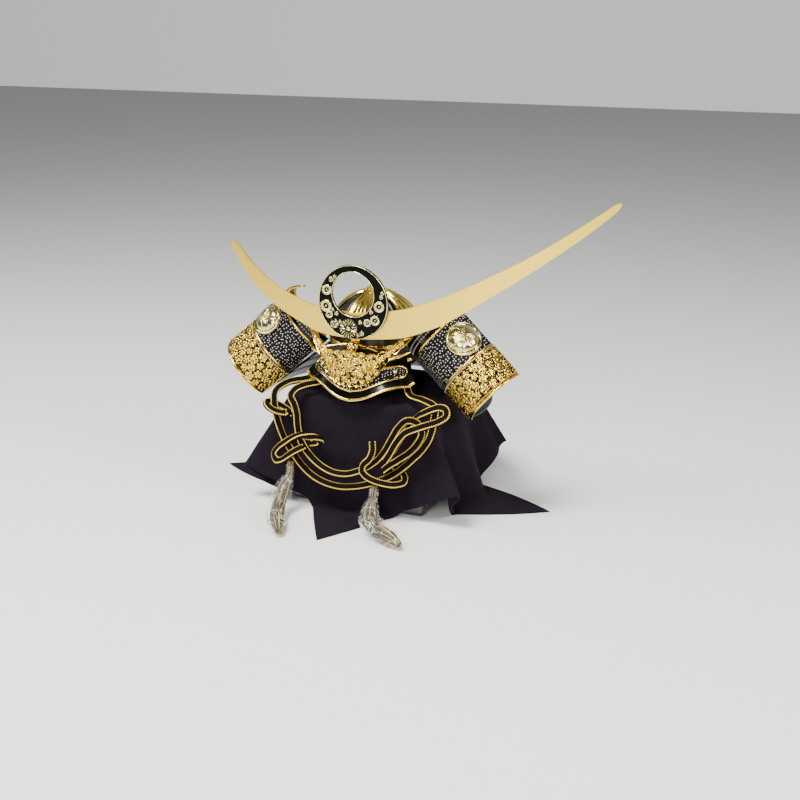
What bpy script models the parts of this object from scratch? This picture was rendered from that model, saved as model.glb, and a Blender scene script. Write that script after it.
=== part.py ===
"""Display kabuto helmet on its cloth-draped stand box.

Metres, +Z up, the wearer's face towards -Y. The origin is the centre of the stand box's flat
bottom, which rests on the floor at z = 0. X runs to the viewer's right.
"""

import math

import bmesh
import bpy
import numpy as np
from mathutils import Vector

MM = 0.001
GAP = 0.3 * MM

# Stand box and the hidden post on it
BOX_WIDTH = 128 * MM
BOX_DEPTH = 114 * MM
BOX_HEIGHT = 100 * MM
BOX_ROUNDING = 4 * MM
POST_RADIUS = 6 * MM
POST_FOOT_RADIUS = 20 * MM
POST_FOOT_HEIGHT = 3 * MM
POST_PAD_RADIUS = 15 * MM
PAD_EDGE = 3 * MM
PAD_TAPER = 4 * MM
PAD_CLEARANCE = 1.2 * MM

# Cloth, laid with its corners to the front, the back and the sides
CLOTH_SIDE = 326 * MM
CLOTH_THICKNESS = 1 * MM
CLOTH_EASE = 2 * MM
CLOTH_FLOOR_BEND = 5 * MM
CLOTH_QUARTER = (0, 14, 24, 32, 38, 42, 48, 57, 68, 79)

# Bowl
BOWL_RADIUS = 40 * MM
BOWL_BACK_STRETCH = 1.08
BOWL_Y = -13 * MM
BOWL_ABOVE_BOX = 49 * MM
BOWL_CENTRE_Z = BOX_HEIGHT + BOWL_ABOVE_BOX
BOWL_RIM_DROP = 19 * MM
BOWL_RIM_Z = BOWL_CENTRE_Z - BOWL_RIM_DROP
BOWL_WALL = 1.5 * MM
BOWL_RIBS = 16
RIB_HEIGHT = 0.9 * MM
CROWN_HOLE_RADIUS = 4 * MM
CROWN_PLATE_THICKNESS = 0.8 * MM
CROWN_PLATE_HALF_ANGLE = 27
FINIAL_RADIUS = 10.5 * MM
FINIAL_HEIGHT = 7 * MM

# Visor
VISOR_HALF_WIDTH = 50 * MM
VISOR_DEPTH = 16.4 * MM
VISOR_DROP = 23.3 * MM
VISOR_THICKNESS = 1.5 * MM
VISOR_RIM_RADIUS = 1.4 * MM
PANEL_THICKNESS = 1.2 * MM
PANEL_RIM_RADIUS = 0.9 * MM
RIVET_RADIUS = 2.2 * MM
VISOR_OVERLAP = 3 * MM
VISOR_END_RISE = 3 * MM

# Brow ornament, its bracket, the crescent and the ring disc
BROW_STAND_OFF = 14.5 * MM
BROW_RADIUS = BOWL_RADIUS + BROW_STAND_OFF
BROW_THICKNESS = 2.6 * MM
BROW_BELOW_RIM = 12.5 * MM
BROW_BOTTOM_Z = BOWL_RIM_Z - BROW_BELOW_RIM
BROW_HEIGHT = 31 * MM
BROW_HALF_WIDTH = 24 * MM
WING_LENGTH = 30 * MM
WING_RISE = 24 * MM
DOME_RADIUS = 4.2 * MM
DOME_PLACE = 17.6 * MM
DOME_RISE = 18.5 * MM
DOME_Z = BROW_BOTTOM_Z + DOME_RISE
BRACKET_WIDTH = 8 * MM
BRACKET_THICKNESS = 1.6 * MM
CRESCENT_BEND = 600 * MM
CRESCENT_THICKNESS = 1.8 * MM
CRESCENT_WIDTH = 24.5 * MM
CRESCENT_RISE = 19 * MM
CRESCENT_Z = BOWL_CENTRE_Z + CRESCENT_RISE
LONG_HORN = 224 * MM
LONG_HORN_RISE = 112 * MM
SHORT_HORN = 127 * MM
SHORT_HORN_RISE = 62 * MM
RING_RADIUS = 32.5 * MM
RING_HOLE_RADIUS = 19.5 * MM
RING_HOLE_RAISED = 7 * MM
RING_THICKNESS = 2.2 * MM
RING_RISE = 21.5 * MM
RING_Z = CRESCENT_Z + RING_RISE
RING_STEPS = 32
BOSS_HEIGHT = 1.6 * MM

# Side turnbacks: a barrel about a slanting axis on each side
TURN_RADIUS = 31 * MM
TURN_OUT = 66.3 * MM
TURN_BEHIND_BOWL = -2 * MM
TURN_ABOVE_CENTRE = 7.3 * MM
TURN_SLOPE = 40.6
TURN_SWEEP = 9.9
TURN_TOP_ANGLE = 8
TURN_END_ANGLE = 147
TURN_WALL = 1.8 * MM
INNER_STRIP_WIDTH = 10.5 * MM
LEATHER_WIDTH = 34 * MM
RELIEF_WIDTH = 31 * MM
RELIEF_HEIGHT = 1.6 * MM
RIM_RADIUS = 1.3 * MM
CREST_RADIUS = 15.2 * MM
CREST_HEIGHT = 6 * MM
CREST_ANGLE = 45
CREST_ALONG = 20 * MM

# Neck guard
LAME_COUNT = 4
LAME_WIDTH = 15.5 * MM
LACING_WIDTH = 4.6 * MM
LAME_THICKNESS = 1.8 * MM
LACING_THICKNESS = 2.6 * MM
GUARD_OVERLAP = 10.4 * MM
GUARD_TOP_Z = BOWL_RIM_Z + GUARD_OVERLAP
GUARD_SEARCH = 80 * MM
GUARD_SLOPE = 38.4

# Chin cord and tassels
CORD_DIAMETER = 6.5 * MM
KNOT_DIAMETER = 6.2 * MM
TASSEL_RADIUS = 7.5 * MM
TASSEL_LOCKS = 7


def table(columns, *rows):
    """A short table as a dictionary of columns."""
    return {name: [row[i] for row in rows] for i, name in enumerate(columns.split())}


def smooth_step(share):
    return share * share * (3 - 2 * share)


def read(at, xs, ys):
    """The value at a place in a table, with a flat tangent at each row."""
    for x0, x1, y0, y1 in zip(xs, xs[1:], ys, ys[1:]):
        if at <= x1:
            return y0 + (y1 - y0) * smooth_step(max(0.0, (at - x0) / (x1 - x0)))
    return ys[-1]


def spline(at, xs, ys):
    """The value at a place in a table, on a smooth curve through its rows."""
    slopes = []
    for i in range(len(xs)):
        low = max(i - 1, 0)
        high = min(i + 1, len(xs) - 1)
        slopes.append((ys[high] - ys[low]) / (xs[high] - xs[low]))
    for i in range(len(xs) - 1):
        if at <= xs[i + 1] or i == len(xs) - 2:
            span = xs[i + 1] - xs[i]
            t = (at - xs[i]) / span
            rise = smooth_step(t)
            bend = t * (1 - t) * (slopes[i] * (1 - t) - slopes[i + 1] * t) * span
            return ys[i] + (ys[i + 1] - ys[i]) * rise + bend
    return ys[-1]


def smooth_route(points, step):
    """Evenly spaced points on a smooth curve through the route's own points."""
    route = [Vector(p) for p in points]
    ends = [2 * route[0] - route[1], *route, 2 * route[-1] - route[-2]]
    fine = []
    for p0, p1, p2, p3 in zip(ends, ends[1:], ends[2:], ends[3:]):
        t1 = (p1 - p0).length ** 0.5
        t2 = t1 + (p2 - p1).length ** 0.5
        t3 = t2 + (p3 - p2).length ** 0.5
        for t in np.linspace(t1, t2, 16, endpoint=False):
            a1 = p0.lerp(p1, t / t1)
            a2 = p1.lerp(p2, (t - t1) / (t2 - t1))
            a3 = p2.lerp(p3, (t - t2) / (t3 - t2))
            b1 = a1.lerp(a2, t / t2)
            b2 = a2.lerp(a3, (t - t1) / (t3 - t1))
            fine.append(b1.lerp(b2, (t - t1) / (t2 - t1)))
    fine.append(route[-1])
    along = [0.0]
    for a, b in zip(fine, fine[1:]):
        along.append(along[-1] + (b - a).length)
    count = max(3, round(along[-1] / step) + 1)
    at = np.linspace(0, along[-1], count)
    return np.stack([np.interp(at, along, [p[k] for p in fine]) for k in range(3)], axis=1)


for old in list(bpy.data.objects):
    bpy.data.objects.remove(old)
PARTS = bpy.data.collections.new("Kabuto")
CUTTERS = bpy.data.collections.new("Cutters")
bpy.context.scene.collection.children.link(PARTS)
bpy.context.scene.collection.children.link(CUTTERS)


def material(name, colour, roughness, metallic=0.0):
    made = bpy.data.materials.new(name)
    made.use_nodes = True
    shader = made.node_tree.nodes["Principled BSDF"]
    shader.inputs["Base Color"].default_value = (*colour, 1)
    shader.inputs["Roughness"].default_value = roughness
    shader.inputs["Metallic"].default_value = metallic
    return made


BLACK_LACQUER = material("black_lacquer", (0.01, 0.01, 0.012), 0.15)
PURPLE_CLOTH = material("purple_cloth", (0.03, 0.018, 0.035), 0.9)
DARK_IRON = material("dark_iron", (0.02, 0.015, 0.012), 0.35, 0.6)
GOLD_PLATE = material("gold_plate", (0.83, 0.6, 0.25), 0.25, 1.0)
PALE_GOLD = material("pale_gold", (0.9, 0.8, 0.55), 0.3, 1.0)
SATIN_GOLD = material("satin_gold", (0.86, 0.72, 0.42), 0.45, 1.0)
DOTTED_LEATHER = material("dotted_leather", (0.02, 0.018, 0.02), 0.5)
DARK_ENAMEL = material("dark_enamel", (0.01, 0.02, 0.015), 0.2, 0.4)
NAVY_LACING = material("navy_lacing", (0.01, 0.012, 0.05), 0.85)
BRAID = material("black_gold_braid", (0.05, 0.04, 0.02), 0.7)
SILK = material("tassel_silk", (0.12, 0.09, 0.05), 0.6)
WOOD = material("plain_wood", (0.5, 0.36, 0.2), 0.6)


def add(name, mesh, finish):
    part = bpy.data.objects.new(name, mesh)
    mesh.materials.clear()
    mesh.materials.append(finish)
    PARTS.objects.link(part)
    return part


def mesh_of(name, points, faces):
    mesh = bpy.data.meshes.new(name)
    mesh.from_pydata([tuple(p) for p in points], [], faces)
    mesh.update()
    return mesh


def soften(mesh, angle=40):
    mesh.shade_smooth()
    mesh.set_sharp_from_angle(angle=math.radians(angle))


def grid(name, rows, finish, across=False, turned=False):
    """An open surface through rows of points; across joins each row's ends, turned flips it."""
    width = len(rows[0])
    last = width if across else width - 1
    faces = []
    for i in range(len(rows) - 1):
        for j in range(last):
            k = (j + 1) % width
            face = (i * width + j, i * width + k, (i + 1) * width + k, (i + 1) * width + j)
            faces.append(face[::-1] if turned else face)
    mesh = mesh_of(name, [p for row in rows for p in row], faces)
    soften(mesh)
    return add(name, mesh, finish)


def thicken(part, thickness, offset=0.0):
    """A wall of even thickness; offset 0 is centred on the surface, -1 lies behind it."""
    wall = part.modifiers.new("Wall", "SOLIDIFY")
    wall.thickness = thickness
    wall.offset = offset
    wall.use_even_offset = True
    return part


def tube(name, points, radius, finish, resolution=2, closed=False):
    """A round wire or cord along points."""
    curve = bpy.data.curves.new(name, "CURVE")
    curve.dimensions = "3D"
    curve.bevel_depth = radius
    curve.bevel_resolution = resolution
    curve.use_fill_caps = not closed
    line = curve.splines.new("POLY")
    line.points.add(len(points) - 1)
    line.use_cyclic_u = closed
    for place, point in zip(line.points, points):
        place.co = (*point, 1)
    curve.materials.append(finish)
    part = bpy.data.objects.new(name, curve)
    PARTS.objects.link(part)
    return part


def as_mesh(part):
    """The same object as a plain mesh with its modifiers and caps welded in."""
    made = bpy.data.meshes.new_from_object(part.evaluated_get(bpy.context.evaluated_depsgraph_get()))
    made.transform(part.matrix_world)
    weld = bmesh.new()
    weld.from_mesh(made)
    bmesh.ops.remove_doubles(weld, verts=weld.verts, dist=0.00001)
    bmesh.ops.recalc_face_normals(weld, faces=weld.faces)
    weld.to_mesh(made)
    weld.free()
    name = part.name
    finish = part.data.materials[0]
    bpy.data.objects.remove(part)
    return add(name, made, finish)


def fuse(part, others):
    """Boolean union of a part with its raised pieces, applied."""
    for other in others:
        join = part.modifiers.new("Join", "BOOLEAN")
        join.operation = "UNION"
        join.object = other
    bpy.context.view_layer.update()
    joined = as_mesh(part)
    for other in others:
        bpy.data.objects.remove(other)
    soften(joined.data, 30)
    return joined


def turned(name, profile, finish, steps=20):
    """A turned solid about Z from a profile of radius and height, top to bottom."""
    rings = []
    for radius, height in profile:
        angles = [2 * math.pi * k / steps for k in range(steps)]
        rings.append([(radius * math.cos(a), radius * math.sin(a), height) for a in angles])
    points = [p for ring in rings for p in ring]
    faces = []
    for i in range(len(rings) - 1):
        for j in range(steps):
            k = (j + 1) % steps
            faces.append((i * steps + j, (i + 1) * steps + j, (i + 1) * steps + k, i * steps + k))
    faces.append(tuple(range(steps)))
    faces.append(tuple((len(rings) - 1) * steps + j for j in reversed(range(steps))))
    mesh = mesh_of(name, points, faces)
    soften(mesh)
    return add(name, mesh, finish)


# Stand box: a plain black box with softened edges


def stand_box():
    mesh = bpy.data.meshes.new("stand_box")
    shape = bmesh.new()
    bmesh.ops.create_cube(shape, size=1)
    bmesh.ops.scale(shape, vec=(BOX_WIDTH, BOX_DEPTH, BOX_HEIGHT), verts=shape.verts)
    bmesh.ops.translate(shape, vec=(0, 0, BOX_HEIGHT / 2), verts=shape.verts)
    shape.to_mesh(mesh)
    shape.free()
    box = add("stand_box", mesh, BLACK_LACQUER)
    edge = box.modifiers.new("Edge", "BEVEL")
    edge.width = BOX_ROUNDING
    edge.segments = 3
    edge.limit_method = "ANGLE"
    base = box.modifiers.new("Flat bottom", "BOOLEAN")
    base.object = bottom_cutter()
    base.operation = "DIFFERENCE"
    box.location.z = 0
    return box


def bottom_cutter():
    """Takes the rounding off the box's lowest edge, so that its bottom face stays full."""
    mesh = bpy.data.meshes.new("bottom_cutter")
    shape = bmesh.new()
    bmesh.ops.create_cube(shape, size=1)
    bmesh.ops.scale(shape, vec=(2 * BOX_WIDTH, 2 * BOX_DEPTH, BOX_HEIGHT), verts=shape.verts)
    bmesh.ops.translate(shape, vec=(0, 0, -BOX_HEIGHT / 2), verts=shape.verts)
    shape.to_mesh(mesh)
    shape.free()
    cutter = bpy.data.objects.new("bottom_cutter", mesh)
    CUTTERS.objects.link(cutter)
    cutter.hide_render = True
    cutter.display_type = "WIRE"
    return cutter


# Cloth: each direction from the centre runs over the box's edge, down and out on the floor

CLOTH_TOP = BOX_HEIGHT + GAP + CLOTH_THICKNESS / 2
CLOTH_LOW = CLOTH_THICKNESS / 2 + GAP

# Sheet angle from the right-hand corner, how far the cloth leans out there, how far it turns
FOLDS = table(
    "angle lean turn",
    (-90, 2, 0),
    (-66, 3, 0),
    (-55, 4, 1),
    (-47, 13, 3),
    (-39, 33, 5),
    (-31, 21, -3),
    (-22, 10, -2),
    (0, 20, 0),
    (27, 10, 2),
    (38, 24, 3),
    (46, 33, -4),
    (58, 14, -2),
    (70, 8, 0),
    (90, 12, 0),
)


def box_reach(angle):
    """How far the box's top reaches from its centre in one direction."""
    across = abs(math.cos(angle)) / (BOX_WIDTH / 2)
    along = abs(math.sin(angle)) / (BOX_DEPTH / 2)
    return (across**40 + along**40) ** (-1 / 40) + CLOTH_EASE


def sheet_reach(angle):
    """How far the square sheet reaches from its centre in one direction."""
    return CLOTH_SIDE / math.sqrt(2) / (abs(math.cos(angle)) + abs(math.sin(angle)))


def drape(run, lean):
    """How far out and how far down the cloth is after a run of cloth from the box's top."""
    turn = math.radians(90 - lean)
    edge = BOX_ROUNDING + GAP + CLOTH_THICKNESS / 2
    low = CLOTH_FLOOR_BEND
    height = CLOTH_TOP - CLOTH_LOW
    straight = (height - (edge + low) * (1 - math.cos(turn))) / math.sin(turn)
    part = min(run, edge * turn)
    out = edge * math.sin(part / edge)
    down = edge * (1 - math.cos(part / edge))
    run -= part
    part = min(max(run, 0), straight)
    out += part * math.cos(turn)
    down += part * math.sin(turn)
    run -= part
    part = min(max(run, 0), low * turn)
    out += low * (math.sin(turn) - math.sin(turn - part / low))
    down += low * (math.cos(turn - part / low) - math.cos(turn))
    run -= part
    return out + max(run, 0), min(down, height)


def cloth_point(angle, distance):
    """Where the point of the sheet at an angle and a distance from its centre lies."""
    start = box_reach(angle) - BOX_ROUNDING
    if distance <= start:
        return Vector((distance * math.cos(angle), distance * math.sin(angle), CLOTH_TOP))
    folded = math.degrees(math.asin(max(-1, min(1, math.sin(angle)))))
    lean = read(folded, FOLDS["angle"], FOLDS["lean"])
    turn = read(folded, FOLDS["angle"], FOLDS["turn"])
    side = 1 if math.cos(angle) >= 0 else -1
    out, down = drape(distance - start, lean)
    plan = angle + side * math.radians(turn) * smooth_step(min(1, down / (0.7 * BOX_HEIGHT)))
    foot = Vector((math.cos(angle), math.sin(angle), 0)) * start
    away = Vector((math.cos(plan), math.sin(plan), 0)) * out
    twist = foot.length * (Vector((math.cos(plan), math.sin(plan), 0)) - foot.normalized())
    return foot + away + twist * 0.6 + Vector((0, 0, CLOTH_TOP - down))


def cloth():
    shares = (0.0, 0.14, 0.3, 0.46, 0.62, 0.78, 0.9, 1.0)
    quarter = CLOTH_QUARTER
    degrees = [
        *quarter,
        90,
        *(180 - a for a in reversed(quarter)),
        *(180 + a for a in quarter[1:]),
        270,
        *(360 - a for a in reversed(quarter[1:])),
    ]
    angles = np.radians(degrees)
    bend = (BOX_ROUNDING + GAP + CLOTH_THICKNESS) * math.pi / 2
    points = [(0, 0, CLOTH_TOP)]
    rings = 1 + 2 + len(shares)
    for ring in range(rings):
        for angle in angles:
            start = box_reach(angle) - BOX_ROUNDING
            fall = sheet_reach(angle) - start - bend
            if ring == 0:
                distance = start
            elif ring < 3:
                distance = start + bend * ring / 3
            else:
                distance = start + bend + fall * shares[ring - 3]
            points.append(cloth_point(angle, distance))
    count = len(degrees)
    faces = []
    for j in range(count):
        k = (j + 1) % count
        faces.append((0, 1 + j, 1 + k))
        for i in range(rings - 1):
            low = 1 + i * count
            high = low + count
            faces.append((low + j, high + j, high + k, low + k))
    mesh = mesh_of("cloth", points, faces)
    soften(mesh, 70)
    sheet = add("cloth", mesh, PURPLE_CLOTH)
    return thicken(sheet, CLOTH_THICKNESS)


# Bowl: riveted plates with raised ribs round a shell that is open below


def bowl_point(azimuth, polar, outset=0.0):
    """A place on the bowl, or outset from it; azimuth 0 is the front, polar 0 the top."""
    radius = BOWL_RADIUS + outset
    x = radius * math.sin(polar) * math.sin(azimuth)
    y = -radius * math.sin(polar) * math.cos(azimuth)
    if y > 0:
        y *= BOWL_BACK_STRETCH
    return Vector((x, BOWL_Y + y, BOWL_CENTRE_Z + radius * math.cos(polar)))


def bowl_columns():
    pitch = 2 * math.pi / BOWL_RIBS
    for rib in range(BOWL_RIBS):
        for share, height in ((-0.12, 0.0), (0.0, RIB_HEIGHT), (0.12, 0.0)):
            yield pitch * (rib + 0.5 + share), height


def bowl():
    first = math.asin(CROWN_HOLE_RADIUS / BOWL_RADIUS)
    rows = []
    for polar in np.linspace(first, math.pi / 2, 5):
        lift = min(1, 2 * math.sin(polar))
        rows.append([bowl_point(a, polar, h * lift) for a, h in bowl_columns()])
    rim = []
    for point in rows[-1]:
        rim.append(Vector((point.x, point.y, BOWL_RIM_Z)))
    rows.append(rim)
    return thicken(grid("bowl", rows, DARK_IRON, across=True, turned=True), BOWL_WALL, -1)


def crown_plates():
    """Four fluted gold plates that run down from the crown, one to each side."""
    half = math.radians(CROWN_PLATE_HALF_ANGLE)
    lift = RIB_HEIGHT + 1.4 * GAP
    for name, middle in (("front", 0.0), ("right", 90.0), ("back", 180.0), ("left", 270.0)):
        rows = []
        for polar in np.radians((17, 36, 54, 72)):
            row = []
            for j in range(9):
                flute = 0.0 if j % 2 else RIB_HEIGHT
                azimuth = math.radians(middle) + half * (j / 4 - 1)
                row.append(bowl_point(azimuth, polar, lift + flute))
            rows.append(row)
        plate = grid(f"crown_plate_{name}", rows, GOLD_PLATE, turned=True)
        thicken(plate, CROWN_PLATE_THICKNESS, 1)


def crown_finial():
    """A petalled knob that covers the hole at the top of the bowl."""
    top = BOWL_CENTRE_Z + BOWL_RADIUS
    shape = table(
        "radius height",
        (0.30, 1.0),
        (0.52, 0.86),
        (0.50, 0.70),
        (0.78, 0.56),
        (0.74, 0.40),
        (1.0, 0.22),
        (0.96, 0.04),
        (0.30, 0.0),
    )
    profile = []
    for radius, height in zip(shape["radius"], shape["height"]):
        profile.append((radius * FINIAL_RADIUS, height * FINIAL_HEIGHT))
    finial = turned("crown_finial", profile, PALE_GOLD, 16)
    for vertex in finial.data.vertices:
        turn = math.atan2(vertex.co.y, vertex.co.x)
        petal = 1 + 0.07 * math.cos(8 * turn)
        vertex.co.x *= petal
        vertex.co.y *= petal
    finial.location = (0, BOWL_Y, top + GAP)
    return finial


# Visor: a shallow plate from the bowl's front rim down to a dipped edge

# Share of the half width, how far the edge has drawn back and risen, as shares of depth and drop
VISOR_EDGE = table(
    "across back rise",
    (0.0, 0.00, 0.00),
    (0.2, 0.06, 0.07),
    (0.4, 0.23, 0.24),
    (0.6, 0.53, 0.43),
    (0.8, 0.94, 0.52),
    (0.92, 1.24, 0.50),
    (1.0, 1.52, 0.62),
)
VISOR_TOP_Z = BOWL_RIM_Z + VISOR_OVERLAP
VISOR_COLUMNS = 20


def visor_point(across, down, outset=0.0):
    """A place on the visor; across runs -1 to 1, down 0 at the bowl to 1 at the edge."""
    share = abs(across)
    x = across * VISOR_HALF_WIDTH
    back = spline(share, VISOR_EDGE["across"], VISOR_EDGE["back"]) * VISOR_DEPTH
    rise = spline(share, VISOR_EDGE["across"], VISOR_EDGE["rise"]) * VISOR_DROP
    seat = BOWL_RADIUS + RIB_HEIGHT + GAP + VISOR_THICKNESS / 2
    at_bowl = share * seat * 0.93
    edge_y = BOWL_Y - seat - VISOR_DEPTH + VISOR_RIM_RADIUS + back
    low = Vector((x, edge_y, VISOR_TOP_Z - VISOR_DROP - VISOR_OVERLAP + rise))
    high = Vector((
        math.copysign(at_bowl, across),
        BOWL_Y - math.sqrt(seat**2 - at_bowl**2),
        VISOR_TOP_Z + VISOR_END_RISE * share,
    ))
    place = high.lerp(low, down)
    if outset:
        step = 0.02
        along = visor_point(across + step, down) - visor_point(across - step, down)
        fall = visor_point(across, down + step) - visor_point(across, down - step)
        place += outset * along.cross(fall).normalized() * -1
    return place


def visor():
    rows = []
    for down in np.linspace(0, 1, 4):
        rows.append([visor_point(a, down) for a in np.linspace(-1, 1, VISOR_COLUMNS + 1)])
    thicken(grid("visor", rows, BLACK_LACQUER), VISOR_THICKNESS)
    clear = VISOR_RIM_RADIUS + GAP * 1.7
    edge = []
    for across in np.linspace(-1, 1, VISOR_COLUMNS + 1):
        low = visor_point(across, 1)
        edge.append(low + (low - visor_point(across, 0.9)).normalized() * clear)
    tube("visor_rim", edge, VISOR_RIM_RADIUS, GOLD_PLATE, 1)


# Half the panel's outline: share of the half width, and where it lies between bowl and edge
PANEL_OUTLINE = table(
    "across top bottom",
    (0.0, 0.28, 0.76),
    (0.4, 0.28, 0.74),
    (0.66, 0.30, 0.71),
    (0.76, 0.36, 0.64),
    (0.80, 0.47, 0.53),
)


def panel_edges(across):
    share = abs(across)
    columns = PANEL_OUTLINE
    high = spline(share, columns["across"], columns["top"])
    low = spline(share, columns["across"], columns["bottom"])
    return high, low


def visor_panel():
    lift = VISOR_THICKNESS / 2 + GAP * 2
    reach = PANEL_OUTLINE["across"][-1]
    places = [math.sin(math.radians(a)) * reach for a in np.linspace(-90, 90, 13)]
    rows = []
    for down in (0.0, 0.5, 1.0):
        row = []
        for across in places:
            high, low = panel_edges(across)
            row.append(visor_point(across, high + (low - high) * down, lift))
        rows.append(row)
    thicken(grid("visor_leather", rows, DOTTED_LEATHER), PANEL_THICKNESS, -1)
    border = []
    wider = 1 + (PANEL_RIM_RADIUS + GAP * 2.5) / (reach * VISOR_HALF_WIDTH)
    margin = (PANEL_RIM_RADIUS + GAP * 1.8) / (VISOR_DEPTH + VISOR_DROP) * 1.35
    height = lift + PANEL_RIM_RADIUS
    for across in places:
        high, low = panel_edges(across)
        border.append(visor_point(across * wider, low + margin, height))
    for across in reversed(places[1:-1]):
        high, low = panel_edges(across)
        border.append(visor_point(across * wider, high - margin, height))
    tube("visor_leather_rim", border, PANEL_RIM_RADIUS, GOLD_PLATE, 1, closed=True)


def visor_rivets():
    """A round-headed rivet near each end of the panel."""
    lift = VISOR_THICKNESS / 2 + GAP * 3.5 + PANEL_THICKNESS
    for name, side in (("left", -1), ("right", 1)):
        across = side * 0.66
        place = visor_point(across, 0.47, lift)
        out = (visor_point(across, 0.47, lift * 2) - place).normalized()
        profile = [(RIVET_RADIUS * math.cos(a), RIVET_RADIUS * 0.8 * math.sin(a))
                   for a in np.radians((75, 45, 15, 0))]
        rivet = turned(f"visor_rivet_{name}", profile, GOLD_PLATE, 10)
        rivet.rotation_mode = "QUATERNION"
        rivet.rotation_quaternion = out.to_track_quat("Z", "Y")
        rivet.location = place


# Brow ornament: one gold casting on a cylinder round the bowl's front

# Half the outline: share along the width, or the wing past 1, and share of the height
BROW_OUTLINE = table(
    "along low high",
    (0.0, 0.0, 1.0),
    (0.35, 0.03, 0.97),
    (0.7, 0.14, 0.93),
    (1.0, 0.36, 0.95),
)
WING_OUTLINE = table(
    "along low high",
    (0.0, 0.0, 0.0),
    (0.3, 0.27, 0.30),
    (0.6, 0.57, 0.62),
    (1.0, 0.93, 0.98),
)


def brow_point(along, height, outset=0.0):
    """A place on the ornament's cylinder, by its run along the curve and its height."""
    radius = BROW_RADIUS + outset
    turn = along / BROW_RADIUS
    return Vector((radius * math.sin(turn), BOWL_Y - radius * math.cos(turn), height))


def brow_ornament():
    columns = []
    for along, low, high in zip(*(BROW_OUTLINE[k] for k in ("along", "low", "high"))):
        columns.append((
            along * BROW_HALF_WIDTH,
            BROW_BOTTOM_Z + low * BROW_HEIGHT,
            BROW_BOTTOM_Z + high * BROW_HEIGHT,
        ))
    end = columns[-1]
    wing = list(zip(*(WING_OUTLINE[k] for k in ("along", "low", "high"))))
    for along, low, high in wing[1:]:
        narrow = 1 - 0.55 * along
        middle = (end[1] + end[2]) / 2
        half = (end[2] - end[1]) / 2 * narrow
        rise = (low + high) / 2 * WING_RISE
        columns.append((end[0] + along * WING_LENGTH, middle + rise - half * 0.8, middle + rise + half * 0.8))
    columns = [(-a, low, high) for a, low, high in reversed(columns[1:])] + columns
    rows = []
    for share in (0.0, 0.25, 0.5, 0.75, 1.0):
        row = []
        for i, (along, low, high) in enumerate(columns):
            bump = RELIEF_HEIGHT * 0.6 if 0 < share < 1 and (i + round(share * 4)) % 2 else 0.0
            row.append(brow_point(along, high + (low - high) * share, bump))
        rows.append(row)
    base = as_mesh_now(thicken(grid("brow_ornament", rows, PALE_GOLD), BROW_THICKNESS, -1))
    domes = []
    for side in (-1, 1):
        place = brow_point(side * DOME_PLACE, DOME_Z, -BROW_THICKNESS * 0.5)
        dome = ball("dome", DOME_RADIUS, 10, 6)
        dome.location = place
        domes.append(dome)
    fuse(base, domes)


def as_mesh_now(part):
    bpy.context.view_layer.update()
    return as_mesh(part)


def ball(name, radius, around, rings):
    mesh = bpy.data.meshes.new(name)
    shape = bmesh.new()
    bmesh.ops.create_uvsphere(shape, u_segments=around, v_segments=rings, radius=radius)
    shape.to_mesh(mesh)
    shape.free()
    return add(name, mesh, GOLD_PLATE)


# Bracket, crescent and ring disc, one in front of the other

BROW_BACK_Y = BOWL_Y - BROW_RADIUS + BROW_THICKNESS
BRACKET_Y = BOWL_Y - BOWL_RADIUS - RIB_HEIGHT - GAP * 2 - BRACKET_THICKNESS
CRESCENT_BACK_Y = BRACKET_Y - 1.3 * GAP
CRESCENT_FRONT_Y = CRESCENT_BACK_Y - CRESCENT_THICKNESS
RING_BACK_Y = CRESCENT_FRONT_Y - GAP


def bracket():
    """A cranked strip from behind the ornament to behind the crescent."""
    front = BROW_BACK_Y + GAP
    path = [
        (front, BROW_BOTTOM_Z + 0.66 * BROW_HEIGHT),
        (front, BROW_BOTTOM_Z + 0.98 * BROW_HEIGHT),
        (BRACKET_Y, CRESCENT_Z - 0.54 * CRESCENT_WIDTH),
        (BRACKET_Y, CRESCENT_Z + 0.2 * CRESCENT_WIDTH),
    ]
    half = BRACKET_WIDTH / 2
    rows = [[(half, y, z) for y, z in path], [(-half, y, z) for y, z in path]]
    thicken(grid("crest_bracket", rows, GOLD_PLATE), BRACKET_THICKNESS, -1)


# Shares of a horn's length, of its rise and of the crescent's width
LONG_HORN_SHAPE = table(
    "along rise width",
    (0.0, 0.0, 0.93),
    (0.19, 0.05, 1.0),
    (0.306, 0.13, 0.99),
    (0.382, 0.2, 0.93),
    (0.53, 0.37, 0.72),
    (0.676, 0.545, 0.56),
    (0.818, 0.735, 0.45),
    (0.93, 0.895, 0.35),
    (0.985, 0.98, 0.25),
    (1.0, 1.0, 0.08),
)
SHORT_HORN_SHAPE = table(
    "along rise width",
    (0.0, 0.0, 0.93),
    (0.277, 0.05, 0.93),
    (0.415, 0.14, 0.83),
    (0.576, 0.275, 0.76),
    (0.659, 0.37, 0.745),
    (0.742, 0.49, 0.71),
    (0.827, 0.635, 0.65),
    (0.9125, 0.82, 0.58),
    (0.975, 0.96, 0.38),
    (1.0, 1.0, 0.1),
)


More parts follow.
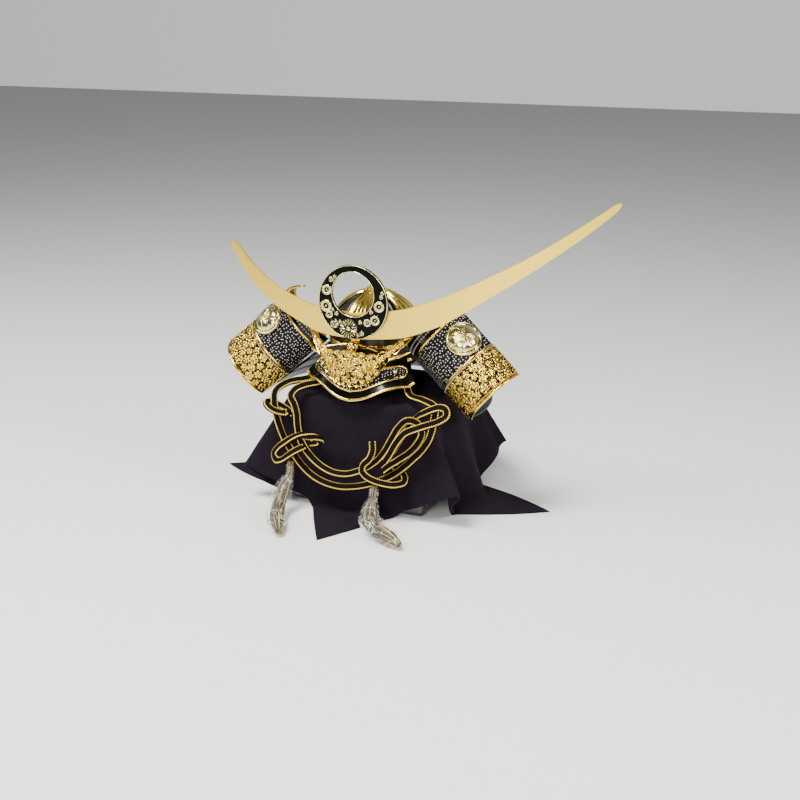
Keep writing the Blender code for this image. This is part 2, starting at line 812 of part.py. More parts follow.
def crescent():
    """A plate that bends back in plan, with horns of two lengths."""
    sections = []
    halves = (
        (-1, SHORT_HORN_SHAPE, SHORT_HORN, SHORT_HORN_RISE, (1, 0.985, 0.94, 0.86, 0.76, 0.66, 0.54, 0.4, 0.26, 0.13)),
        (1, LONG_HORN_SHAPE, LONG_HORN, LONG_HORN_RISE,
         (0, 0.08, 0.17, 0.26, 0.36, 0.46, 0.56, 0.66, 0.76, 0.86, 0.94, 0.985, 1)),
    )
    for side, shape, length, rise, places in halves:
        for place in places:
            run = side * place * length
            middle = CRESCENT_Z + rise * spline(place, shape["along"], shape["rise"])
            half = CRESCENT_WIDTH / 2 * spline(place, shape["along"], shape["width"])
            turn = run / CRESCENT_BEND
            x = CRESCENT_BEND * math.sin(turn)
            y = CRESCENT_FRONT_Y + CRESCENT_BEND * (1 - math.cos(turn))
            sections.append((x, y, middle, half))
    rows = []
    for level in (-1, 0, 1):
        rows.append([(x, y, z + level * half) for x, y, z, half in sections])
    thicken(grid("crescent", rows, SATIN_GOLD), CRESCENT_THICKNESS, -1)


# Bosses on the disc: angle from the top, place across the band, radius in shares of the disc's
BOSSES = table(
    "angle place radius",
    (186, 0.74, 0.27),
    (-69, 0.80, 0.17),
    (-102, 0.80, 0.19),
    (-128, 0.80, 0.16),
    (-152, 0.76, 0.16),
    (-44, 0.83, 0.12),
    (80, 0.80, 0.17),
    (112, 0.80, 0.18),
    (130, 0.78, 0.15),
    (152, 0.74, 0.13),
    (58, 0.82, 0.14),
)


def ring_disc():
    """A disc with an offset round hole and raised bosses on its band."""
    rim = circle(RING_RADIUS, 0, RING_Z)
    hole = circle(RING_HOLE_RADIUS, 0, RING_Z + RING_HOLE_RAISED)
    rows = []
    for share in (0.0, 1.0):
        rows.append([a.lerp(b, share) for a, b in zip(rim, hole)])
    disc = as_mesh_now(thicken(grid("ring_disc", rows, DARK_ENAMEL, across=True, turned=True), RING_THICKNESS, 1))
    raised = []
    for angle, place, share in zip(*(BOSSES[k] for k in ("angle", "place", "radius"))):
        turn = math.radians(angle)
        across = place * RING_RADIUS
        x = across * math.sin(turn)
        z = RING_Z + across * math.cos(turn)
        radius = share * RING_RADIUS
        profile = [(radius * 0.45, BOSS_HEIGHT), (radius, BOSS_HEIGHT * 0.45), (radius, -RING_THICKNESS * 0.5)]
        boss = turned("boss", profile, GOLD_PLATE, 8)
        boss.rotation_euler = (math.radians(90), 0, 0)
        boss.location = (x, RING_BACK_Y - RING_THICKNESS, z)
        raised.append(boss)
    fuse(disc, raised)


def circle(radius, x, z):
    points = []
    for k in range(RING_STEPS):
        turn = 2 * math.pi * k / RING_STEPS
        points.append(Vector((x + radius * math.sin(turn), RING_BACK_Y, z + radius * math.cos(turn))))
    return points


# Side turnbacks: every piece lies on one barrel, so each is placed along and round it


def barrel(side):
    """The barrel's inner end, its axis and its two cross directions."""
    start = Vector((TURN_OUT, BOWL_Y + TURN_BEHIND_BOWL, BOWL_CENTRE_Z + TURN_ABOVE_CENTRE))
    slope = math.radians(TURN_SLOPE)
    sweep = math.radians(TURN_SWEEP)
    axis = Vector((math.cos(slope) * math.cos(sweep), -math.cos(slope) * math.sin(sweep), -math.sin(slope)))
    up = Vector((math.sin(slope), 0, math.cos(slope)))
    up = (up - axis * up.dot(axis)).normalized()
    front = axis.cross(up)
    flip = Vector((side, 1, 1))
    return start * flip, axis * flip, up * flip, front * flip


def turn_point(side, along, angle, outset=0.0):
    """A place on a turnback: along its axis, round from the top, and out from its face."""
    start, axis, up, front = barrel(side)
    turn = math.radians(angle)
    out = up * math.cos(turn) + front * math.sin(turn)
    return start + axis * along + out * (TURN_RADIUS + outset)


def turn_shell(name, side, low, high, finish, columns, rows, wall=TURN_WALL, relief=0.0, outset=0.0):
    net = []
    for i in range(rows + 1):
        along = low + (high - low) * i / rows
        line = []
        for j in range(columns + 1):
            angle = TURN_TOP_ANGLE + (TURN_END_ANGLE - TURN_TOP_ANGLE) * j / columns
            inside = 0 < i < rows and 0 < j < columns
            bump = relief if inside and (i + j) % 2 else 0.0
            line.append(turn_point(side, along, angle, outset + bump))
        net.append(line)
    return thicken(grid(name, net, finish, turned=side < 0), wall, -1)


def turn_rim(name, side, along, radius, drop=0.0):
    angles = np.linspace(TURN_TOP_ANGLE, TURN_END_ANGLE, 12)
    points = [turn_point(side, along, a, -drop) for a in angles]
    tube(name, points, radius, GOLD_PLATE, 1)


def turnback(side, word):
    inner_rim = 0.0
    leather = inner_rim + RIM_RADIUS + GAP
    strip = leather + LEATHER_WIDTH + GAP + RIM_RADIUS
    relief = strip + RIM_RADIUS + GAP
    outer_rim = relief + RELIEF_WIDTH + GAP + RIM_RADIUS
    strip_end = inner_rim - RIM_RADIUS - GAP
    drop = TURN_WALL / 2
    turn_shell(f"inner_strip_{word}", side, strip_end - INNER_STRIP_WIDTH, strip_end, DOTTED_LEATHER, 11, 1)
    turn_rim(f"inner_rim_{word}", side, inner_rim, RIM_RADIUS, drop)
    turn_shell(f"side_leather_{word}", side, leather, leather + LEATHER_WIDTH, DOTTED_LEATHER, 11, 3)
    turn_rim(f"gold_strip_{word}", side, strip, RIM_RADIUS, drop)
    turn_shell(f"relief_band_{word}", side, relief, relief + RELIEF_WIDTH, PALE_GOLD, 11, 5,
               relief=RELIEF_HEIGHT, outset=0.2 * RELIEF_HEIGHT)
    turn_rim(f"outer_rim_{word}", side, outer_rim, RIM_RADIUS, drop)
    crest = side_crest(side, word)
    crest.location = turn_point(side, CREST_ALONG, CREST_ANGLE)


def side_crest(side, word):
    """A domed rosette whose back is hollowed to the barrel's curve."""
    profile = [(0.12, 1.0), (0.5, 0.86), (0.8, 0.55), (1.0, 0.3), (1.0, 0.0), (0.6, 0.0), (0.1, 0.0)]
    points = [(r * CREST_RADIUS, h * CREST_HEIGHT) for r, h in profile]
    crest = turned(f"side_crest_{word}", points, PALE_GOLD, 16)
    start, axis, up, front = barrel(side)
    turn = math.radians(CREST_ANGLE)
    out = up * math.cos(turn) + front * math.sin(turn)
    across = axis.cross(out)
    for vertex in crest.data.vertices:
        run = vertex.co.y
        lift = vertex.co.z
        bend = run / TURN_RADIUS
        radius = TURN_RADIUS + GAP * 2 + lift
        sag = radius * math.cos(bend) - TURN_RADIUS
        vertex.co = axis * vertex.co.x + across * radius * math.sin(bend) + out * sag
    crest.data.flip_normals()
    return crest


# Neck guard: flared bands from side to side round the back, laced edge to edge


def guard_point(run, azimuth, outset=0.0):
    """A place on the guard; azimuth 0 is the right side, 90 the back, 180 the left."""
    slope = math.radians(GUARD_SLOPE)
    radius = BOWL_RADIUS + RIB_HEIGHT + GAP * 2 + LAME_THICKNESS + run * math.cos(slope)
    height = GUARD_TOP_Z - run * math.sin(slope)
    radius += outset * math.sin(slope)
    height += outset * math.cos(slope)
    turn = math.radians(azimuth)
    stretch = BOWL_BACK_STRETCH if math.sin(turn) > 0 else 1.0
    return Vector((radius * math.cos(turn), BOWL_Y + radius * math.sin(turn) * stretch, height))


def guard_end(run):
    """The azimuth where the guard at this run meets the turnback's lower edge."""
    radius = (guard_point(run, 0) - Vector((0, BOWL_Y, 0))).x
    best = -10.0
    nearest = 1.0
    for along in np.linspace(-INNER_STRIP_WIDTH, GUARD_SEARCH, 60):
        point = turn_point(1, along, TURN_END_ANGLE, -TURN_WALL / 2) - Vector((0, BOWL_Y, 0))
        miss = abs(math.hypot(point.x, point.y) - radius)
        if miss < nearest:
            nearest = miss
            best = math.degrees(math.atan2(point.y, point.x))
    return best + math.degrees((TURN_WALL / 2 + GAP) / radius)


def guard_band(name, low, high, thickness, finish, columns, outset=0.0):
    rows = []
    for run in (low, high):
        start = guard_end(run)
        row = []
        for j in range(columns + 1):
            azimuth = start + (180 - 2 * start) * j / columns
            row.append(guard_point(run, azimuth, outset))
        rows.append(row)
    thicken(grid(name, rows, finish, turned=True), thickness)


def neck_guard():
    pitch = LAME_WIDTH + LACING_WIDTH + 2 * GAP
    for k in range(LAME_COUNT):
        low = k * pitch
        guard_band(f"lame_{k + 1}", low, low + LAME_WIDTH, LAME_THICKNESS, BLACK_LACQUER, 16)
        if k < LAME_COUNT - 1:
            start = low + LAME_WIDTH + GAP
            guard_band(f"lacing_{k + 1}", start, start + LACING_WIDTH, LACING_THICKNESS, NAVY_LACING, 16)


# Chin cord: routes in millimetres, chosen point by point from the knots of the real one

CORD_ROUTES = {
    "chin_cord_a": (
        (36.8, -26.4, 128.2), (36.8, -27.2, 121), (42, -40, 111.5), (52, -55, 109.5), (68, -66, 111),
        (78.5, -68.5, 107.5), (79, -70.5, 98), (76.5, -73, 82.5), (69.5, -73, 69.5), (60, -73, 58.5),
        (51, -73, 49.5), (41.5, -73.5, 42), (30.5, -74.5, 36), (18, -76, 31), (7, -77, 28), (-5, -78, 26.5),
        (-20, -78, 28), (-34, -77, 33), (-45.5, -75.5, 41.5), (-54.5, -74.5, 51.5), (-61, -74.5, 61),
        (-65.5, -75.5, 72.5), (-68.5, -76, 84), (-70.5, -75.5, 95), (-72, -70, 104.5), (-66, -57, 110),
        (-53, -42, 111.5), (-38, -28.5, 120), (-36.8, -26.4, 128.2),
    ),
    "chin_cord_b": (
        (-28, -40.5, 129.2), (-28.5, -41.5, 121), (-37, -51, 112.5), (-47.5, -62, 110.5), (-53, -69, 108),
        (-55, -73.5, 103), (-51.5, -75, 97), (-49.5, -74.5, 88.5), (-48.5, -74.5, 76.5), (-46.5, -74.5, 65.5),
        (-41.5, -74.5, 56), (-33.5, -75.5, 48), (-24, -77, 42.5), (-13, -78, 39), (0, -78, 39),
        (10.5, -76.5, 42.5), (20.5, -75, 48), (30, -75.5, 56), (37.5, -76.5, 66.5), (43, -76.5, 77),
        (49.5, -77, 88), (58, -77.5, 95.5), (66.5, -77.5, 94), (70, -77, 86), (67, -77, 77), (60, -77, 67.5),
        (50.5, -77, 59.5), (40, -77, 51.5), (36, -77, 48),
    ),
    "chin_cord_c": (
        (41, -85, 60), (44.5, -85, 65.5), (51, -85, 77.5), (59, -85.5, 87), (68, -86, 91.5),
        (78.5, -85.5, 96), (88.5, -83, 100), (94.5, -80.5, 105), (93, -79, 110), (87.5, -79, 111),
        (82.5, -80, 109.5), (75, -77.5, 105), (66.5, -72, 99), (58.5, -69.5, 90.5), (52, -69.3, 80.5),
        (45.5, -69.3, 70), (42, -69.3, 64),
    ),
}
KNOT_ROUTES = {
    "knot_left_upper": (
        (-57, -72, 86.5), (-62, -68.8, 88.5), (-69.8, -68, 91.5), (-76.4, -70.3, 94.5), (-78.2, -76, 95.4),
        (-75.2, -80.6, 94), (-69.5, -82.4, 91.5), (-62, -82, 89.5), (-57.5, -79.5, 89),
    ),
    "knot_left_lower": (
        (-38, -67.8, 59), (-31, -68.5, 61), (-27.5, -72.5, 65), (-28.5, -78.5, 69), (-34, -82.6, 71.5),
        (-41, -83.3, 71.5), (-49, -82.8, 68), (-57, -82, 62.5), (-64.5, -80.5, 56.5), (-69, -80, 50),
        (-66, -82, 44.5), (-60, -84, 46), (-53, -84.2, 51.5), (-45.5, -84, 57), (-39, -83.2, 60.5),
    ),
    "knot_right": (
        (25, -77.5, 71.5), (26.5, -81, 65), (24.5, -83, 58.5), (19.5, -83.5, 52.5), (18.5, -84, 47),
        (22.5, -84.8, 42.5), (30, -85.2, 39.5), (38.5, -84.8, 38), (47, -82, 37), (52.8, -75.5, 37.8),
        (50.5, -68.4, 41.5), (42, -66, 46.5), (33, -66, 49.5),
    ),
}

# Each tassel's line, and its size from the head to the tips
TASSEL_ROUTES = {
    "tassel_left": (
        (-50.5, -85.2, 46.6), (-51.5, -87, 34), (-54, -93, 24), (-54, -102, 14), (-50, -114, 8.8),
        (-42, -129, 8.1), (-32, -146, 6),
    ),
    "tassel_right": (
        (30.5, -86, 35.8), (30, -87, 27), (29, -90, 19), (30.5, -97, 12), (37, -108, 9.9),
        (50, -119, 8.7), (65, -127.5, 8), (73, -131.5, 5.5),
    ),
}
TASSEL_SHAPE = table(
    "along size",
    (0.0, 0.42),
    (0.14, 0.44),
    (0.22, 0.78),
    (0.4, 1.0),
    (0.65, 1.06),
    (0.85, 0.86),
    (1.0, 0.42),
)


def in_metres(route):
    return [Vector(p) * MM for p in route]


def chin_cords():
    for name, route in CORD_ROUTES.items():
        spacing = 2.0 if name == "chin_cord_c" else 2.3
        points = smooth_route(in_metres(route), spacing * CORD_DIAMETER)
        tube(name, points, CORD_DIAMETER / 2, BRAID, 1)
    for name, route in KNOT_ROUTES.items():
        points = smooth_route(in_metres(route), 1.3 * KNOT_DIAMETER)
        tube(name, points, KNOT_DIAMETER / 2, BRAID, 1)


def tassels():
    """Locks that run side by side from a narrow head, as one closed body."""
    for name, route in TASSEL_ROUTES.items():
        line = [Vector(p) for p in smooth_route(in_metres(route), 1.2 * TASSEL_RADIUS)]
        rows = []
        last = len(line) - 1
        for i, centre in enumerate(line):
            run = (line[min(i + 1, last)] - line[max(i - 1, 0)]).normalized()
            across = run.cross(Vector((0, -1, 1))).normalized()
            over = across.cross(run)
            size = spline(i / last, TASSEL_SHAPE["along"], TASSEL_SHAPE["size"]) * TASSEL_RADIUS
            row = []
            for k in range(2 * TASSEL_LOCKS):
                turn = math.pi * k / TASSEL_LOCKS
                reach = size * (1.0 if k % 2 else 0.8)
                row.append(centre + reach * (math.cos(turn) * across + math.sin(turn) * over))
            rows.append(row)
        body = grid(name, rows, SILK, across=True)
        shape = bmesh.new()
        shape.from_mesh(body.data)
        bmesh.ops.holes_fill(shape, edges=shape.edges, sides=0)
        bmesh.ops.recalc_face_normals(shape, faces=shape.faces)
        shape.to_mesh(body.data)
        shape.free()
        soften(body.data, 50)


def stand_post():
    """Foot on the cloth, stem, and a round pad under the bowl's crown."""
    foot = CLOTH_TOP + CLOTH_THICKNESS / 2 + GAP
    inner = BOWL_RADIUS - BOWL_WALL - PAD_CLEARANCE
    pad = []
    for share in (0.3, 0.7, 1.0):
        radius = share * POST_PAD_RADIUS
        pad.append((radius, BOWL_CENTRE_Z + math.sqrt(inner**2 - radius**2)))
    under = pad[-1][1] - PAD_EDGE
    profile = [
        *pad,
        (POST_PAD_RADIUS, under),
        (POST_RADIUS, under - PAD_TAPER),
        (POST_RADIUS, foot + POST_FOOT_HEIGHT * 1.6),
        (POST_FOOT_RADIUS, foot + POST_FOOT_HEIGHT),
        (POST_FOOT_RADIUS, foot),
    ]
    post = turned("stand_post", profile, WOOD, 16)
    post.location.y = BOWL_Y
    return post


stand_box()
cloth()
stand_post()
bowl()
crown_plates()
crown_finial()
visor()
visor_panel()
visor_rivets()
brow_ornament()
bracket()
crescent()
ring_disc()
for direction, word in ((-1, "left"), (1, "right")):
    turnback(direction, word)
neck_guard()
chin_cords()
tassels()
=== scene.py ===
"""Shapes and finishes for the display kabuto on its draped stand box. Metres, in the CAD frame."""
import math

import bmesh
import bpy
import numpy as np
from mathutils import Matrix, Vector, noise


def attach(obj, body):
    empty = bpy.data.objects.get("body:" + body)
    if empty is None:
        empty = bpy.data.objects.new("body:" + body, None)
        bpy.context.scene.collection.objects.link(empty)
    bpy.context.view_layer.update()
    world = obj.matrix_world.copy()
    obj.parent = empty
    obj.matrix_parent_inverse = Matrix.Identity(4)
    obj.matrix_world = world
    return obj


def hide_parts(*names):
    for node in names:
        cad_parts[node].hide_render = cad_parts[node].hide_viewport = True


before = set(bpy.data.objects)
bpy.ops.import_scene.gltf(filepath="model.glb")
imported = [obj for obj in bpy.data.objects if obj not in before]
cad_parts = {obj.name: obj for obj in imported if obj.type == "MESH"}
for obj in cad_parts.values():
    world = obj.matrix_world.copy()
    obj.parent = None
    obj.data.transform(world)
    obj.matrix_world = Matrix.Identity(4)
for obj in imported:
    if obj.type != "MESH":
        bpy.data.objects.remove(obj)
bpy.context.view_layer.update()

MM = 0.001
TAU = 2 * math.pi


# Camera at the photograph's angle, and a pale floor under soft studio light: lamps above, in front and at
# both sides, in a room that is bright at the back.

EYE = (0.4773, -1.0895, 0.452)
EYE_TURN = 22.85
EYE_DIP = 17.141
LENS_MM = 61.15

eye = bpy.data.objects.new("eye", bpy.data.cameras.new("eye"))
eye.data.lens = LENS_MM
eye.data.sensor_width = 36
eye.location = EYE
eye.rotation_euler = (math.radians(90 - EYE_DIP), 0, math.radians(EYE_TURN))
bpy.context.scene.collection.objects.link(eye)
bpy.context.scene.camera = eye


def softbox(name, place, aim, size, watts):
    lamp = bpy.data.objects.new(name, bpy.data.lights.new(name, "AREA"))
    lamp.data.shape = "SQUARE"
    lamp.data.size = size
    lamp.data.energy = watts
    lamp.location = place
    lamp.rotation_euler = (Vector(aim) - Vector(place)).to_track_quat("-Z", "Y").to_euler()
    bpy.context.scene.collection.objects.link(lamp)


softbox("softbox_over", (-0.2, -0.6, 1.3), (0, 0, 0.1), 0.45, 36)
softbox("softbox_front", (0.3, -1.45, 0.62), (0, 0, 0.17), 0.45, 17)
softbox("softbox_right", (1.25, -0.35, 0.75), (0, 0, 0.15), 0.4, 14)
softbox("softbox_left", (-1.2, -0.5, 0.9), (0, 0, 0.12), 0.3, 8)

room = bpy.data.worlds.new("white_room")
room.use_nodes = True
wall = room.node_tree.nodes["Background"]
wall.inputs["Color"].default_value = (0.95, 0.97, 1, 1)
toward = room.node_tree.nodes.new("ShaderNodeTexCoord")
parts = room.node_tree.nodes.new("ShaderNodeSeparateXYZ")
depth = room.node_tree.nodes.new("ShaderNodeMapRange")
depth.inputs["From Min"].default_value = 0.1
depth.inputs["From Max"].default_value = 0.9
depth.inputs["To Min"].default_value = 0.1
depth.inputs["To Max"].default_value = 0.75
room.node_tree.links.new(toward.outputs["Generated"], parts.inputs["Vector"])
room.node_tree.links.new(parts.outputs["Y"], depth.inputs["Value"])
room.node_tree.links.new(depth.outputs["Result"], wall.inputs["Strength"])
bpy.context.scene.world = room

# The Mix node's colour sockets have no names of their own
MIX_FROM = 6
MIX_TO = 7
MIX_RESULT = 2
GRAIN_DETAIL = 3.0
GRAIN_SPAN = (0.3, 0.7)


def hex_colour(value):
    """A linear colour from an sRGB hex value."""
    parts = [int(value[i:i + 2], 16) / 255 for i in (1, 3, 5)]
    return (*(c / 12.92 if c <= 0.04045 else ((c + 0.055) / 1.055) ** 2.4 for c in parts), 1)


def add_node(tree, kind, feeds=None, **settings):
    """Adds a node; feeds gives its inputs a socket or a value, settings are its properties."""
    made = tree.nodes.new(kind)
    for key, value in settings.items():
        setattr(made, key, value)
    for key, value in (feeds or {}).items():
        if isinstance(value, bpy.types.NodeSocket):
            tree.links.new(value, made.inputs[key])
        else:
            made.inputs[key].default_value = value
    return made


def start_finish(name, colour, roughness, metallic=0.0, **sockets):
    """A new finish: the material, its node tree and its main shader."""
    made = bpy.data.materials.new(name)
    made.use_nodes = True
    shader = made.node_tree.nodes["Principled BSDF"]
    shader.inputs["Base Color"].default_value = hex_colour(colour)
    shader.inputs["Roughness"].default_value = roughness
    shader.inputs["Metallic"].default_value = metallic
    for key, value in sockets.items():
        shader.inputs[key.replace("_", " ")].default_value = value
    return made, made.node_tree, shader


def raise_bump(tree, shader, height, distance):
    """Raises the surface by a socket's value times a distance."""
    bump = add_node(tree, "ShaderNodeBump", {"Height": height, "Distance": distance})
    tree.links.new(bump.outputs["Normal"], shader.inputs["Normal"])


def spread(tree, value, low, high, to_low=0.0, to_high=1.0):
    """A socket's value stretched from one span to another, and held at the span's ends."""
    return add_node(tree, "ShaderNodeMapRange", {
        "Value": value,
        "From Min": low,
        "From Max": high,
        "To Min": to_low,
        "To Max": to_high,
    }).outputs["Result"]


def two_tone(tree, shader, share, dark, light):
    """Shades the base colour from one hex value to another by a socket's value."""
    mixed = add_node(tree, "ShaderNodeMix", {
        "Factor": share,
        MIX_FROM: hex_colour(dark),
        MIX_TO: hex_colour(light),
    }, data_type="RGBA")
    tree.links.new(mixed.outputs[MIX_RESULT], shader.inputs["Base Color"])


def work_out(tree, operation, *values):
    """The result of one step of arithmetic on sockets and values."""
    return add_node(tree, "ShaderNodeMath", dict(enumerate(values)), operation=operation).outputs[0]


def grain(tree, shader, place, scale, height, roughness_span=None):
    """Fine noise that roughens a surface and breaks up its gloss; gives the noise's own socket."""
    speckle = add_node(tree, "ShaderNodeTexNoise", {"Vector": place, "Scale": scale, "Detail": GRAIN_DETAIL})
    raise_bump(tree, shader, speckle.outputs["Fac"], height)
    if roughness_span:
        gloss = spread(tree, speckle.outputs["Fac"], *GRAIN_SPAN, *roughness_span)
        tree.links.new(gloss, shader.inputs["Roughness"])
    return speckle.outputs["Fac"]


def object_place(tree):
    return add_node(tree, "ShaderNodeTexCoord").outputs["Object"]


def surface_place(tree):
    """Places along and across a piece's own surface, in metres."""
    return add_node(tree, "ShaderNodeUVMap", uv_map="surface").outputs["UV"]


# Floor: seamless matt studio paper
paper, tree, shader = start_finish("studio_paper", "#ecebe8", 0.85)
grain(tree, shader, object_place(tree), 900, 0.0001)
floor_mesh = bpy.data.meshes.new("floor")
floor_mesh.from_pydata([(-4, -4, 0), (4, -4, 0), (4, 4, 0), (-4, 4, 0)], [], [(0, 1, 2, 3)])
floor_mesh.materials.append(paper)
floor = bpy.data.objects.new("floor", floor_mesh)
bpy.context.scene.collection.objects.link(floor)


# Chin cord: a round black braid with three beaded gold threads, looped twice on the left and once
# on the right, its upper ends under the bowl. Each strand is a tube with its threads laid on.

CORD_DIAMETER = 6.5 * MM
KNOT_DIAMETER = 6.2 * MM
BRAID_INSET = 0.12 * MM
PLAIT_PITCH = 1.6 * MM
PLAIT_HEIGHT = 0.12 * MM
THREAD_BEAD = 0.84 * MM
THREAD_BEAD_SUNK = 0.55
THREAD_BEAD_STRETCH = 1.1
THREAD_PITCH = 2.0 * MM
THREAD_ANGLES = (60, -60, 180)
CORD_FACE = (0.4, -0.92, 1.0)
CORD_SIDES = 20

CORD_ROUTES = {
    "chin_cord_a": (
        (36.8, -26.4, 128.2), (36.8, -27.2, 121), (42, -40, 111.5), (52, -55, 109.5), (68, -66, 111),
        (78.5, -68.5, 107.5), (79, -70.5, 98), (76.5, -73, 82.5), (69.5, -73, 69.5), (60, -73, 58.5),
        (51, -73, 49.5), (41.5, -73.5, 42), (30.5, -74.5, 36), (18, -76, 31), (7, -77, 28), (-5, -78, 26.5),
        (-20, -78, 28), (-34, -77, 33), (-45.5, -75.5, 41.5), (-54.5, -74.5, 51.5), (-61, -74.5, 61),
        (-65.5, -75.5, 72.5), (-68.5, -76, 84), (-70.5, -75.5, 95), (-72, -70, 104.5), (-66, -57, 110),
        (-53, -42, 111.5), (-38, -28.5, 120), (-36.8, -26.4, 128.2),
    ),
    "chin_cord_b": (
        (-28, -40.5, 129.2), (-28.5, -41.5, 121), (-37, -51, 112.5), (-47.5, -62, 110.5), (-53, -69, 108),
        (-55, -73.5, 103), (-51.5, -75, 97), (-49.5, -74.5, 88.5), (-48.5, -74.5, 76.5), (-46.5, -74.5, 65.5),
        (-41.5, -74.5, 56), (-33.5, -75.5, 48), (-24, -77, 42.5), (-13, -78, 39), (0, -78, 39),
        (10.5, -76.5, 42.5), (20.5, -75, 48), (30, -75.5, 56), (37.5, -76.5, 66.5), (43, -76.5, 77),
        (49.5, -77, 88), (58, -77.5, 95.5), (66.5, -77.5, 94), (70, -77, 86), (67, -77, 77), (60, -77, 67.5),
        (50.5, -77, 59.5), (40, -77, 51.5), (36, -77, 48),
    ),
    "chin_cord_c": (
        (41, -85, 60), (44.5, -85, 65.5), (51, -85, 77.5), (59, -85.5, 87), (68, -86, 91.5),
        (78.5, -85.5, 96), (88.5, -83, 100), (94.5, -80.5, 105), (93, -79, 110), (87.5, -79, 111),
        (82.5, -80, 109.5), (75, -77.5, 105), (66.5, -72, 99), (58.5, -69.5, 90.5), (52, -69.3, 80.5),
        (45.5, -69.3, 70), (42, -69.3, 64),
    ),
}
KNOT_ROUTES = {
    "knot_left_upper": (
        (-57, -72, 86.5), (-62, -68.8, 88.5), (-69.8, -68, 91.5), (-76.4, -70.3, 94.5), (-78.2, -76, 95.4),
        (-75.2, -80.6, 94), (-69.5, -82.4, 91.5), (-62, -82, 89.5), (-57.5, -79.5, 89),
    ),
    "knot_left_lower": (
        (-38, -67.8, 59), (-31, -68.5, 61), (-27.5, -72.5, 65), (-28.5, -78.5, 69), (-34, -82.6, 71.5),
        (-41, -83.3, 71.5), (-49, -82.8, 68), (-57, -82, 62.5), (-64.5, -80.5, 56.5), (-69, -80, 50),
        (-66, -82, 44.5), (-60, -84, 46), (-53, -84.2, 51.5), (-45.5, -84, 57), (-39, -83.2, 60.5),
    ),
    "knot_right": (
        (25, -77.5, 71.5), (26.5, -81, 65), (24.5, -83, 58.5), (19.5, -83.5, 52.5), (18.5, -84, 47),
        (22.5, -84.8, 42.5), (30, -85.2, 39.5), (38.5, -84.8, 38), (47, -82, 37), (52.8, -75.5, 37.8),
        (50.5, -68.4, 41.5), (42, -66, 46.5), (33, -66, 49.5),
    ),
}


def smooth_route(points, step):
    """Evenly spaced points on a smooth curve through the route's own points."""
    route = [Vector(p) for p in points]
    ends = [2 * route[0] - route[1], *route, 2 * route[-1] - route[-2]]
    fine = []
    for p0, p1, p2, p3 in zip(ends, ends[1:], ends[2:], ends[3:]):
        t1 = (p1 - p0).length ** 0.5
        t2 = t1 + (p2 - p1).length ** 0.5
        t3 = t2 + (p3 - p2).length ** 0.5
        for t in np.linspace(t1, t2, 16, endpoint=False):
            a1 = p0.lerp(p1, t / t1)
            a2 = p1.lerp(p2, (t - t1) / (t2 - t1))
            a3 = p2.lerp(p3, (t - t2) / (t3 - t2))
            b1 = a1.lerp(a2, t / t2)
            b2 = a2.lerp(a3, (t - t1) / (t3 - t1))
            fine.append(b1.lerp(b2, (t - t1) / (t2 - t1)))
    fine.append(route[-1])
    fine = np.array(fine)
    along = np.concatenate([[0], np.cumsum(np.linalg.norm(np.diff(fine, axis=0), axis=1))])
    count = max(3, round(along[-1] / step) + 1)
    at = np.linspace(0, along[-1], count)
    return np.stack([np.interp(at, along, fine[:, k]) for k in range(3)], axis=1)


def unit(vectors):
    return vectors / np.maximum(np.linalg.norm(vectors, axis=-1, keepdims=True), 1e-12)


def line_frames(line, face, closed=False):
    """Along a line: its direction, and a side direction that keeps close to facing one way."""
    if closed:
        run = unit(np.roll(line, -1, 0) - np.roll(line, 1, 0))
    else:
        run = unit(np.gradient(line, axis=0))
    out = np.zeros_like(run)
    last = unit(np.cross(np.cross(run[0], face), run[0]))
    for i, direction in enumerate(run):
        wanted = np.cross(np.cross(direction, face), direction)
        carried = last - direction * last.dot(direction)
        last = unit(carried + 0.12 * wanted)
        out[i] = last
    return run, out


def sweep(line, radius, sides, closed=False, lobes=0, lobe_depth=0.0):
    """A tube's points, faces and surface coordinates; radius may change along the line."""
    line = np.asarray(line, float)
    run, out = line_frames(line, np.array(CORD_FACE), closed)
    side = np.cross(run, out)
    radius = np.broadcast_to(np.asarray(radius, float), len(line))
    turn = np.linspace(0, TAU, sides + 1)
    reach = radius[:, None] * (1 + lobe_depth * np.cos(lobes * turn))[None, :]
    net = line[:, None] + reach[..., None] * (
        np.cos(turn)[None, :, None] * out[:, None] + np.sin(turn)[None, :, None] * side[:, None]
    )
    if closed:
        net = np.concatenate([net, net[:1]])
    points, faces, places = net_mesh(net)
    if not closed:
        for end, row in ((0, 0), (1, len(line) - 1)):
            middle = len(points)
            points = np.concatenate([points, line[row][None]])
            places = np.concatenate([places, places[row * (sides + 1)][None]])
            for j in range(sides):
                a = row * (sides + 1) + j
                faces.append((middle, a, a + 1) if end else (middle, a + 1, a))
    return points, faces, places


def net_mesh(net):
    """Points, faces and surface coordinates in metres for a rows by columns net."""
    rows, columns, _ = net.shape
    corner = (np.arange(rows - 1)[:, None] * columns + np.arange(columns - 1)[None, :]).ravel()
    faces = np.stack([corner, corner + 1, corner + columns + 1, corner + columns], axis=1)
    across = np.linalg.norm(np.diff(net, axis=1), axis=2).mean(axis=0)
    down = np.linalg.norm(np.diff(net, axis=0), axis=2).mean(axis=1)
    u = np.concatenate([[0], np.cumsum(across)])
    v = np.concatenate([[0], np.cumsum(down)])
    places = np.stack(np.meshgrid(u, v), axis=-1).reshape(-1, 2)
    return net.reshape(-1, 3), [tuple(f) for f in faces.tolist()], places


def put_together(*lumps):
    """Several sets of points, faces and surface coordinates as one, with a finish number each."""
    points, faces, places, numbers = [], [], [], []
    start = 0
    for number, (p, f, s) in lumps:
        points.append(p)
        places.append(s)
        faces += [tuple(i + start for i in face) for face in f]
        numbers += [number] * len(f)
        start += len(p)
    return np.concatenate(points), faces, np.concatenate(places), numbers


